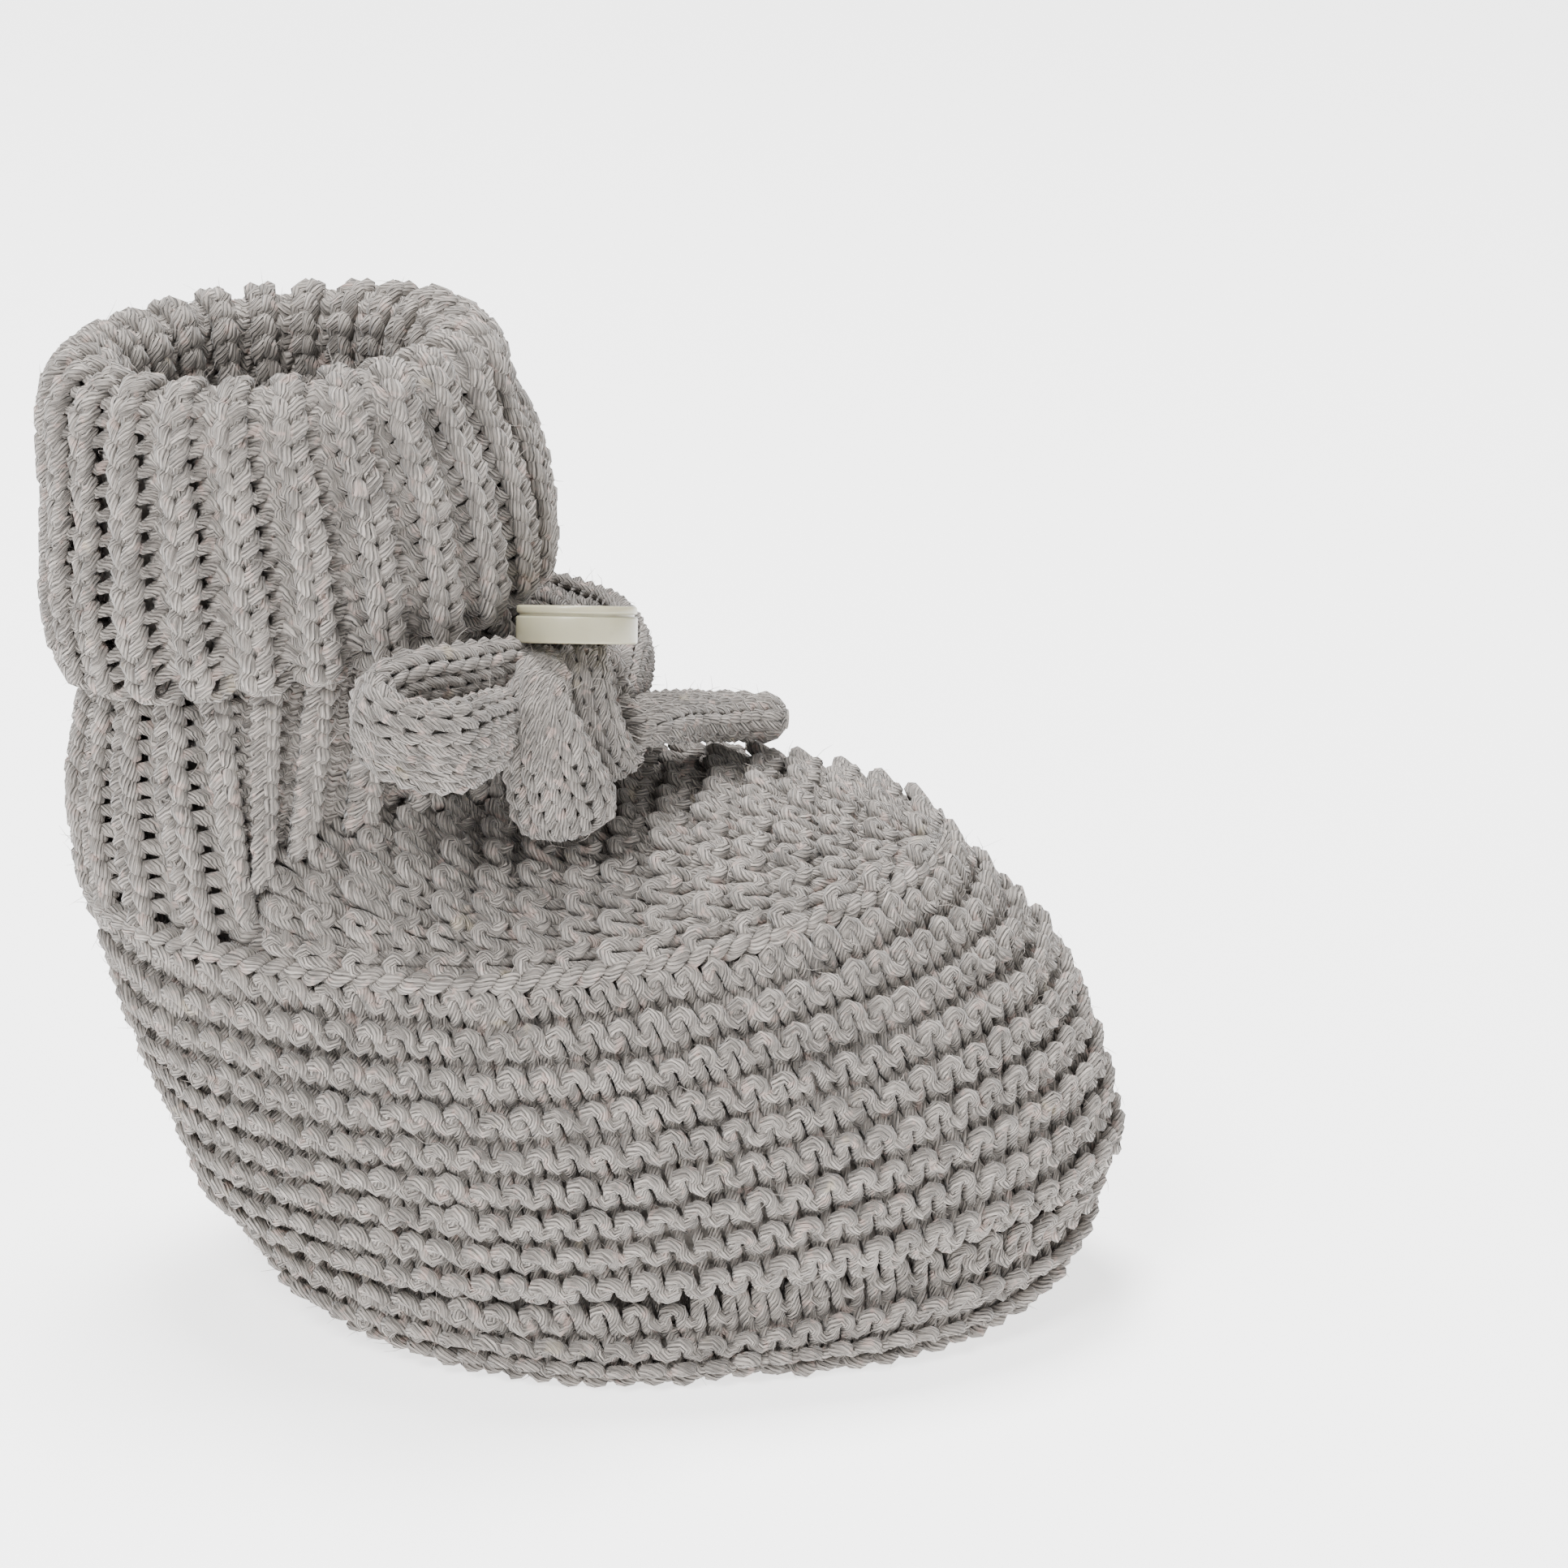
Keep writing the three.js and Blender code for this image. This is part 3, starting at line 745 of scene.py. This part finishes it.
VIEW = dict(azimuth=-87, elevation=19, away=0.600, wide=0.153333)  # degrees and metres
VIEW_MIDDLE = (0.01675, 0.0479)  # middle of the view, to the right of the origin and up, in metres
LIGHTS = (  # name, place, size and power
    ("key", (-0.75, 0.35, 0.95), 0.4, 17.0),
    ("fill", (-0.6, -0.8, 0.5), 0.7, 3.0),
    ("top", (0.2, 0.1, 1.1), 0.4, 25.0),
)
SKY = 0.5
PAPER = {"Base Color": (0.93, 0.93, 0.93, 1), "Roughness": 0.9, "Specular IOR Level": 0.1,
         "Emission Color": (1, 1, 1, 1), "Emission Strength": 1.9}


def add_camera(context):
    """A long lens at the bootee's side, a little above it."""
    azimuth, elevation = math.radians(VIEW["azimuth"]), math.radians(VIEW["elevation"])
    ahead = Vector((-math.sin(azimuth) * math.cos(elevation),
                    math.cos(azimuth) * math.cos(elevation), -math.sin(elevation)))
    right = Vector((math.cos(azimuth), math.sin(azimuth), 0))
    aim = Vector((0, -0.0016, 0)) + right * VIEW_MIDDLE[0] + right.cross(ahead) * VIEW_MIDDLE[1]
    data = bpy.data.cameras.new("camera")
    data.sensor_width = 36.0
    data.lens = data.sensor_width * VIEW["away"] / VIEW["wide"]
    data.clip_end = 20
    camera = bpy.data.objects.new("camera", data)
    context.collection.objects.link(camera)
    camera.rotation_euler = ahead.to_track_quat("-Z", "Y").to_euler()
    camera.location = aim - ahead * VIEW["away"]
    context.scene.camera = camera


def add_floor(context):
    """A wide sheet of pale paper under the bootee."""
    bpy.ops.mesh.primitive_plane_add(size=6.0, location=(0, 0, 0))
    floor = context.object
    floor.name = "floor"
    nodes = Nodes("paper")
    nodes.surface(PAPER)
    floor.data.materials.append(nodes.material)


def add_lights(context):
    """Soft light from all round, and three lamps that face the bootee."""
    world = bpy.data.worlds.new("studio")
    context.scene.world = world
    world.use_nodes = True
    sky = world.node_tree.nodes["Background"]
    sky.inputs["Color"].default_value = (1.0, 1.0, 1.0, 1)
    sky.inputs["Strength"].default_value = SKY
    for name, place, size, power in LIGHTS:
        lamp = bpy.data.lights.new(name, "AREA")
        lamp.size, lamp.energy = size, power
        holder = bpy.data.objects.new(name, lamp)
        context.collection.objects.link(holder)
        holder.location = place
        aim_at = Vector((0, 0, 0.045)) - holder.location
        holder.rotation_euler = aim_at.to_track_quat("-Z", "Y").to_euler()


# ---- operators -----------------------------------------------------


class BOOTEE_OT_camera(bpy.types.Operator):
    """Sets up the camera, the floor and the studio light"""

    bl_idname = "bootee.camera"
    bl_label = "Camera and studio"

    def execute(self, context):
        add_camera(context)
        add_floor(context)
        add_lights(context)
        return {"FINISHED"}


def knit_rounds(yarn, surface, turn_at, count, rows):
    """Garter rounds over a closed surface, from the first row up."""
    for row in range(rows):
        x, y, z = garter_row(count, row % 2 == 0, True, yarn.random, GARTER)
        centres, out = on_cloth(surface, turn_at(x), (row + 0.5 + y) / rows, z - FACE_IN)
        yarn.add(centres + out * wobble(centres, UNEVEN)[:, None], out, True)


def twist_edge(turn_at, count):
    """Two strands twisted round each other along the side's top edge."""
    edge = Yarn(ROPE["radius"], seed=12)
    t = np.arange(960) / 960
    for strand in (0.0, 0.5):
        sink = np.full_like(t, -ROPE["sink"])
        base, out = on_cloth(band_point, turn_at(t * count), np.ones_like(t), sink)
        swirl = TURN * (t * ROPE["turns"] + strand)
        rise = unit(np.cross(out, np.roll(base, -1, 0) - base))
        sway = np.cos(swirl)[:, None] * out + np.sin(swirl)[:, None] * rise
        edge.add(base + ROPE["swing"] * sway, out, True)
    return edge.piece("band_edge", finish("wool", wool_finish), "knit")


class BOOTEE_OT_band(bpy.types.Operator):
    """Knits the garter-stitch side round heel and toe"""

    bl_idname = "bootee.band"
    bl_label = "Side band"

    def execute(self, context):
        sizes = context.scene.bootee_sizes
        wall = cloth_wall("band_cloth", [(band_point, ROUND, np.linspace(0.0, 1.0, 13), True, 1.0)],
                          "foot_band")
        turn_at = even_turns(band_point, 0.5, sizes.band_stitches)
        yarn = Yarn(sizes.yarn, seed=11)
        knit_rounds(yarn, band_point, turn_at, sizes.band_stitches, sizes.band_rows)
        stitches = yarn.piece("band_stitches", finish("wool", wool_finish), "knit")
        rope = twist_edge(turn_at, sizes.band_stitches)
        return {"FINISHED"}


def instep_row(yarn, row, across, line, join_y, middle):
    """One stretch of a row across the instep, along a line at one distance from the toe."""
    length = lengths(line)
    count = int(round(length[-1] / STITCH))
    if count < 2:
        return
    x, y, z = garter_row(count, row % 2 == 0, False, yarn.random, INSTEP)
    s = np.interp(np.clip(x / count, 0, 1) * length[-1], length, across)
    join = np.interp(s, across, join_y)
    t = (join - middle - y * INSTEP_ROW) / (join - SEAM["toe"])
    place, out = on_cloth(instep_point, np.clip(s, -0.9995, 0.9995), t, z - INSTEP_IN)
    yarn.add(place + out * wobble(place, UNEVEN)[:, None], out, False)


class BOOTEE_OT_instep(bpy.types.Operator):
    """Knits the garter-stitch instep, with its rows across the foot"""

    bl_idname = "bootee.instep"
    bl_label = "Instep"

    def execute(self, context):
        wide = np.sin(np.linspace(-1, 1, 25) * 1.42)
        wall = cloth_wall("instep_cloth", [(instep_point, wide, np.linspace(0.0, 0.97, 17), False, 1.0)],
                          "instep", deep=(1.5, 2.2))
        yarn = Yarn(context.scene.bootee_sizes.yarn, seed=21)
        across = np.sin(np.linspace(-1, 1, 241) * math.pi / 2)
        join_y = join_point(2 / math.pi * np.arcsin(across))[:, 1]
        for row in range(int((JOIN_BACK - SEAM["toe"]) / INSTEP_ROW)):
            middle = SEAM["toe"] + 1.0 + row * INSTEP_ROW
            t = (join_y - middle) / (join_y - SEAM["toe"])
            line = instep_point(across, np.clip(t, -PAST_JOIN, 1))
            before = t > -PAST_JOIN
            if before[len(across) // 2]:
                parts = [slice(0, None)]
            else:
                side = int(np.argmin(before))
                parts = [slice(0, side), slice(len(across) - side, None)]
            for part in parts:
                if len(line[part]) >= SHORTEST_PART:
                    instep_row(yarn, row, across[part], line[part], join_y[part], middle)
        stitches = yarn.piece("instep_stitches", finish("wool", wool_finish), "knit")
        return {"FINISHED"}


class BOOTEE_OT_sole(bpy.types.Operator):
    """Knits the sole, with rounds at its edge and rows along its underside"""

    bl_idname = "bootee.sole"
    bl_label = "Sole"

    def execute(self, context):
        sizes = context.scene.bootee_sizes
        wall = cloth_wall("sole_cloth", [(bowl_point, ROUND, np.linspace(0.03, 1.0, 20), True, 1.0)],
                          "sole")
        yarn = Yarn(sizes.yarn, seed=31)
        turn_at = even_turns(tucked_edge, 0.5, SOLE_STITCHES)
        knit_rounds(yarn, tucked_edge, turn_at, SOLE_STITCHES, SOLE_ROUNDS)
        half = SOLE["half"]
        for row, x_line in enumerate(np.arange(2.0 - half, half - 1.0, GARTER_ROW)):
            share = math.sqrt(max(0.0, 1 - (x_line / (half - 0.6)) ** 2))
            toe, heel = (mix(SOLE["wide"], SOLE[end], share) for end in ("toe", "heel"))
            count = int((heel - toe) / STITCH)
            if count < 3:
                continue
            x, y, z = garter_row(count, row % 2 == 0, False, yarn.random, GARTER)
            centres = point(x_line + y * GARTER_ROW, mix(toe, heel, x / count), sizes.yarn + 0.75 - z)
            yarn.add(centres, np.broadcast_to([0.0, 0.0, -1.0], centres.shape), False)
        stitches = yarn.piece("sole_stitches", finish("wool", wool_finish), "knit")
        return {"FINISHED"}


def ankle_down(turn, v):
    """The ankle from under the cuff, v = 0, to where it runs in behind the instep, v = 1."""
    return ankle_point(turn, 1 - (0.975 + 0.03 * np.maximum(0, -np.cos(turn))) * v)


def flat_at_fold(v):
    """How flat the rib is pulled as the cuff rises to its fold, and past it."""
    fold = CUFF_ALONG[FOLD_START] / CUFF_ALONG[-1]
    return 0.6 * math.exp(-(min(0.0, v - fold) / 0.13) ** 2)


def rib_rounds(yarn, surface, count, rows, side, flat=lambda v: 0.0):
    """Rounds of rib over a tube, flatter where the tube folds over."""
    for row in range(rows):
        middle = (row + 0.5) / rows
        x, y, z, plump = rib_row(count, yarn.random, RIB, flat(middle))
        centres, out = on_cloth(surface, x / count * TURN, middle + y / rows, z - RIB_IN, side)
        yarn.add(centres + out * wobble(centres, RIB_UNEVEN)[:, None], out, True, plump)


class BOOTEE_OT_rib(bpy.types.Operator):
    """Knits the ribbed ankle and the cuff that is turned down over it"""

    bl_idname = "bootee.rib"
    bl_label = "Ribbed ankle and cuff"

    def execute(self, context):
        sizes = context.scene.bootee_sizes
        count = 2 * sizes.ribs
        layers = [(ankle_point, ROUND, np.linspace(0.0, 1.0, 9), True, 1.0),
                  (cuff_point, ROUND, np.linspace(0.0, 1.0, 33), True, 1.0)]
        wall = cloth_wall("rib_cloth", layers, "ankle_cuff", deep=(2.8, 3.4))
        ankle = Yarn(sizes.rib_yarn, seed=41)
        rib_rounds(ankle, ankle_down, count, ANKLE_ROUNDS, -1.0)
        ankle_stitches = ankle.piece("ankle_stitches", finish("wool", wool_finish), "rib")
        cuff = Yarn(sizes.rib_yarn, seed=42)
        rib_rounds(cuff, cuff_point, count, round(CUFF_ALONG[-1] / sizes.row), 1.0, flat_at_fold)
        cuff_stitches = cuff.piece("cuff_stitches", finish("wool", wool_finish), "rib")
        return {"FINISHED"}


def smooth_route(rows, step):
    """Even steps along a smooth curve through the rows: middle, width direction, face and share."""
    places = np.array([row[0] for row in rows], float)
    widths = np.array([(*row[1], row[2]) for row in rows], float)
    padded = np.vstack([2 * places[0] - places[1], places, 2 * places[-1] - places[-2]])
    curve, wide = [], []
    for i in range(len(places) - 1):
        a, b, c, d = padded[i:i + 4]
        for t in np.linspace(0, 1, 24, endpoint=False):
            curve.append(0.5 * ((2 * b) + (c - a) * t + (2 * a - 5 * b + 4 * c - d) * t * t
                                + (3 * b - a - 3 * c + d) * t**3))
            wide.append(mix(widths[i], widths[i + 1], t))
    curve.append(places[-1])
    wide.append(widths[-1])
    curve, wide = np.array(curve), np.array(wide)
    length = lengths(curve)
    at = np.linspace(0, length[-1], int(length[-1] / step) + 1)
    middle, width = read_off(at, length, curve), read_off(at, length, wide)
    width, share = width[:, :3], width[:, 3]
    ahead = unit(np.gradient(middle, axis=0))
    width -= ahead * np.sum(ahead * width, 1, keepdims=True)
    for _ in range(6):
        width[1:-1] = (width[:-2] + width[1:-1] * 2 + width[2:]) / 4
    width = unit(width)
    return middle, width, np.cross(ahead, width), length[-1], share


def blunt(at, length, full):
    """How much of its full section the cord has near its two free ends."""
    away = np.minimum(at, length - at)
    return np.sqrt(np.clip(1 - (1 - np.clip((away + 0.5) / full, 0, 1)) ** 2, 0.02, 1))


def cord_tube(name, route, wide, thick, material):
    """A closed flat tube along a route, with rounded ends."""
    middle, width, out, length, share = route
    at = np.linspace(0, length, len(middle))
    scale = blunt(at, length, BLUNT) * share
    sides = 16
    angle = np.arange(sides) / sides * TURN
    ring = (np.cos(angle)[None, :, None] * width[:, None] * (wide / 2 * scale)[:, None, None]
            + np.sin(angle)[None, :, None] * out[:, None] * (thick / 2 * scale**0.5)[:, None, None])
    index = np.arange(len(middle) * sides).reshape(-1, sides)
    faces = quads(np.hstack([index, index[:, :1]])) + [index[0].tolist(), index[-1].tolist()]
    mesh = closed_mesh(name, (middle[:, None] + ring).reshape(-1, 3), faces)
    return finish_piece(bpy.data.objects.new(name, mesh), material)


def cord_stitches(yarn, route, wide, thick, row, ends=True):
    """Plain stitches that run along a flat cord, round after round."""
    middle, width, out, length, share = route
    at = np.linspace(0, length, len(middle))
    t = np.arange(CORD_COLUMNS * CORD_STEPS) / CORD_STEPS * TURN
    for k in range(int(length / row)):
        y = -0.78 * np.cos(t) * (1 + 0.06 * yarn.random.standard_normal())
        z = -0.42 * np.cos(2 * t) - 0.35
        x = t / TURN + 0.27 * np.sin(2 * t) + 0.03 * yarn.random.standard_normal()
        place = np.clip((k + 0.5 + y) * row, 0, length)
        scale = (blunt(place, length, BLUNT) if ends else 1.0) * np.interp(place, at, share)
        a = x / CORD_COLUMNS * TURN
        skew = a + 0.22 * np.sin(2 * a)
        c, w, o = (read_off(place, at, values) for values in (middle, width, out))
        ux, uy = np.cos(skew), np.sin(skew)
        outward = unit(w * (ux * thick / wide)[:, None] + o * uy[:, None])
        centres = (c + w * (ux * wide / 2 * scale)[:, None] + o * (uy * thick / 2 * scale**0.5)[:, None]
                   + outward * z[:, None])
        yarn.add(centres, outward, True)


class BOOTEE_OT_bow(bpy.types.Operator):
    """Ties the bow of flat knitted cord"""

    bl_idname = "bootee.bow"
    bl_label = "Cord bow"

    def execute(self, context):
        wool = finish("wool_cord", cord_finish)
        ground = finish("knit_ground", ground_finish)
        route = smooth_route(BOW_ROUTE, 1.0)
        core = cord_tube("bow_cord", route, CORD_WIDE - 1.5, CORD_THICK - 1.5, ground)
        yarn = Yarn(0.58, seed=51)
        cord_stitches(yarn, route, CORD_WIDE, CORD_THICK, 1.9)
        stitches = yarn.piece("bow_stitches", wool, "cord")

        x, y, z = KNOT_AT
        hoop = [((x - KNOT_HALF[0] * math.cos(a), y + 0.3 * KNOT_HALF[2] * math.sin(a),
                  z + KNOT_HALF[2] * math.sin(a)), (0.1, 0.95, -0.2), 1.0)
                for a in np.linspace(-math.pi, math.pi, 15)]
        wrap_route = smooth_route(hoop, 0.8)
        wrap = cord_tube("knot_cord", wrap_route, 6.0, 2.6, ground)
        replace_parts(wrap, "bow_knot")
        knot = Yarn(0.5, seed=52)
        cord_stitches(knot, wrap_route, 7.0, 3.6, 1.6, ends=False)
        knot_stitches = knot.piece("knot_stitches", wool, "cord")
        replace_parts(core, "bow_loop_left", "bow_loop_right", "bow_tail_front", "bow_tail_side")
        return {"FINISHED"}


class BOOTEE_OT_fuzz(bpy.types.Operator):
    """Raises the loose fibres that stand off the wool"""

    bl_idname = "bootee.fuzz"
    bl_label = "Loose fibres"

    def execute(self, context):
        random = np.random.default_rng(71)
        laid = np.concatenate(YARN_LAID)
        pick = laid[random.integers(0, len(laid), context.scene.bootee_sizes.fuzz)]
        centre, up, ahead, thick = pick[:, 0:3], pick[:, 3:6], pick[:, 6:9], pick[:, 9:10]
        across = np.cross(ahead, up)
        spread = random.uniform(-1.1, 1.1, (len(pick), 1))
        out = up * np.cos(spread) + across * np.sin(spread)
        drift = random.standard_normal((len(pick), 3))
        start = centre + out * thick * 0.9
        length = random.uniform(0.8, 2.0, (len(pick), 1))
        lie = ahead * np.sign(random.standard_normal((len(pick), 1))) + 0.5 * drift
        lie = unit(lie)
        middle = start + length * (0.45 * lie + 0.22 * out)
        end = middle + length * (0.4 * lie + 0.12 * drift + 0.1 * out)
        points = []
        for place, ray in ((start, 0.035), (middle, 0.03), (end, 0.012)):
            for a in (0, TURN / 3, 2 * TURN / 3):
                points.append(place + ray * (math.cos(a) * out + math.sin(a) * np.cross(lie, out)))
        points = np.stack(points, 1)
        points = points[points[:, :, 2].min(1) > 0.05]
        faces = [(2, 1, 0), (6, 7, 8)]
        for a in range(6):
            b = a // 3 * 3 + (a + 1) % 3
            faces += [(a, b, b + 3), (a, b + 3, a + 3)]
        starts = points.shape[1] * np.arange(len(points))[:, None, None]
        grid = (np.array(faces)[None] + starts).reshape(-1, 3)
        mesh = closed_mesh("loose_fibres", points.reshape(-1, 3), grid.tolist())
        nodes = Nodes("fibre")
        nodes.surface({"Base Color": shade(context.scene.bootee_colours.wool, 1.45), "Roughness": 0.8,
                       "Specular IOR Level": 0.2})
        finish_piece(bpy.data.objects.new("loose_fibres", mesh), nodes.material)
        return {"FINISHED"}


BUTTON_ACROSS, BUTTON_RIM = 11.2, 1.045  # width in mm, and how much wider the upper half is
HOLE_HALF, HOLES_OUT = 0.62, 1.25  # radius of each thread hole, and how far it is from the middle


def raise_face(up):
    bpy.ops.mesh.extrude_region_move(TRANSFORM_OT_translate={"value": (0, 0, up * MM)})


def turn_disc(context):
    """A disc in two steps, with a dished face and rounded rims."""
    bpy.ops.mesh.primitive_cylinder_add(
        vertices=64, radius=BUTTON_ACROSS / 2 * MM, depth=2.5 * MM, location=(0, 0, -0.5 * MM))
    button = context.object
    button.name = "disc_button"
    bpy.ops.object.transform_apply(location=True)
    bpy.ops.object.mode_set(mode="EDIT")
    work = bmesh.from_edit_mesh(button.data)
    bpy.ops.mesh.select_all(action="DESELECT")
    for face in work.faces:
        face.select = face.normal.z > 0.9
    bmesh.update_edit_mesh(button.data)
    bpy.ops.mesh.inset(thickness=0.3 * MM)
    raise_face(0.22)
    raise_face(0.0)
    bpy.ops.transform.resize(value=(BUTTON_RIM, BUTTON_RIM, 1))
    raise_face(0.75)
    for narrower, up in ((0.9, 0.0), (0.5, -0.6), (2.3, -0.15)):
        bpy.ops.mesh.inset(thickness=narrower * MM)
        bpy.ops.transform.translate(value=(0, 0, up * MM))
    bpy.ops.mesh.select_all(action="DESELECT")
    work = bmesh.from_edit_mesh(button.data)
    for edge in work.edges:
        rim = all(v.co.xy.length > (BUTTON_ACROSS / 2 - 0.2) * MM for v in edge.verts)
        level = abs(edge.verts[0].co.z - edge.verts[1].co.z) < 1e-6
        edge.select = rim and level
    bmesh.update_edit_mesh(button.data)
    bpy.ops.mesh.bevel(offset=0.22 * MM, segments=3, affect="EDGES")
    bpy.ops.object.mode_set(mode="OBJECT")
    return button


def drill_holes(context, button):
    """Four thread holes through the button."""
    for quarter in range(4):
        a = math.radians(45 + 90 * quarter)
        bpy.ops.mesh.primitive_cylinder_add(
            vertices=20, radius=HOLE_HALF * MM, depth=7.0 * MM,
            location=(HOLES_OUT * MM * math.cos(a), HOLES_OUT * MM * math.sin(a), 0))
        cutter = context.object
        hole = button.modifiers.new("hole", "BOOLEAN")
        hole.operation, hole.object, hole.solver = "DIFFERENCE", cutter, "EXACT"
        context.view_layer.objects.active = button
        bpy.ops.object.modifier_apply(modifier=hole.name)
        bpy.data.objects.remove(cutter)


class BOOTEE_OT_button(bpy.types.Operator):
    """Turns the disc button, with its dished face and four holes"""

    bl_idname = "bootee.button"
    bl_label = "Button"

    def execute(self, context):
        bpy.ops.object.select_all(action="DESELECT")
        button = turn_disc(context)
        drill_holes(context, button)
        place = Matrix.Translation(Vector(BUTTON_AT) * MM) @ Matrix.Rotation(BUTTON_LEAN, 4, "Y")
        button.data.transform(place)
        bpy.ops.object.select_all(action="DESELECT")
        button.select_set(True)
        context.view_layer.objects.active = button
        bpy.ops.object.shade_smooth_by_angle(angle=math.radians(35))
        finish_piece(button, finish("cream_button", button_finish))
        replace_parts(button, "button")
        return {"FINISHED"}


class BOOTEE_PT_panel(bpy.types.Panel):
    """Lists the steps that make the bootee"""

    bl_label = "Bootee"
    bl_idname = "BOOTEE_PT_panel"
    bl_space_type = "VIEW_3D"
    bl_region_type = "UI"
    bl_category = "Bootee"

    def draw(self, context):
        for settings in (context.scene.bootee_sizes, context.scene.bootee_colours):
            for key in settings.bl_rna.properties.keys():
                if key not in ("rna_type", "name"):
                    self.layout.prop(settings, key)
        for step in STEPS:
            self.layout.operator(step.bl_idname)


STEPS = (BOOTEE_OT_camera, BOOTEE_OT_bow, BOOTEE_OT_button, BOOTEE_OT_band, BOOTEE_OT_instep,
         BOOTEE_OT_sole, BOOTEE_OT_rib, BOOTEE_OT_fuzz)
CLASSES = (BooteeSizes, BooteeColours, *STEPS, BOOTEE_PT_panel)


def register():
    for kind in CLASSES:
        bpy.utils.register_class(kind)
    bpy.types.Scene.bootee_sizes = bpy.props.PointerProperty(type=BooteeSizes)
    bpy.types.Scene.bootee_colours = bpy.props.PointerProperty(type=BooteeColours)


def unregister():
    del bpy.types.Scene.bootee_sizes
    del bpy.types.Scene.bootee_colours
    for kind in reversed(CLASSES):
        bpy.utils.unregister_class(kind)


def main():
    register()
    for step in STEPS:
        group, name = step.bl_idname.split(".")
        getattr(getattr(bpy.ops, group), name)()
    bpy.context.view_layer.update()


if __name__ == "__main__":
    main()
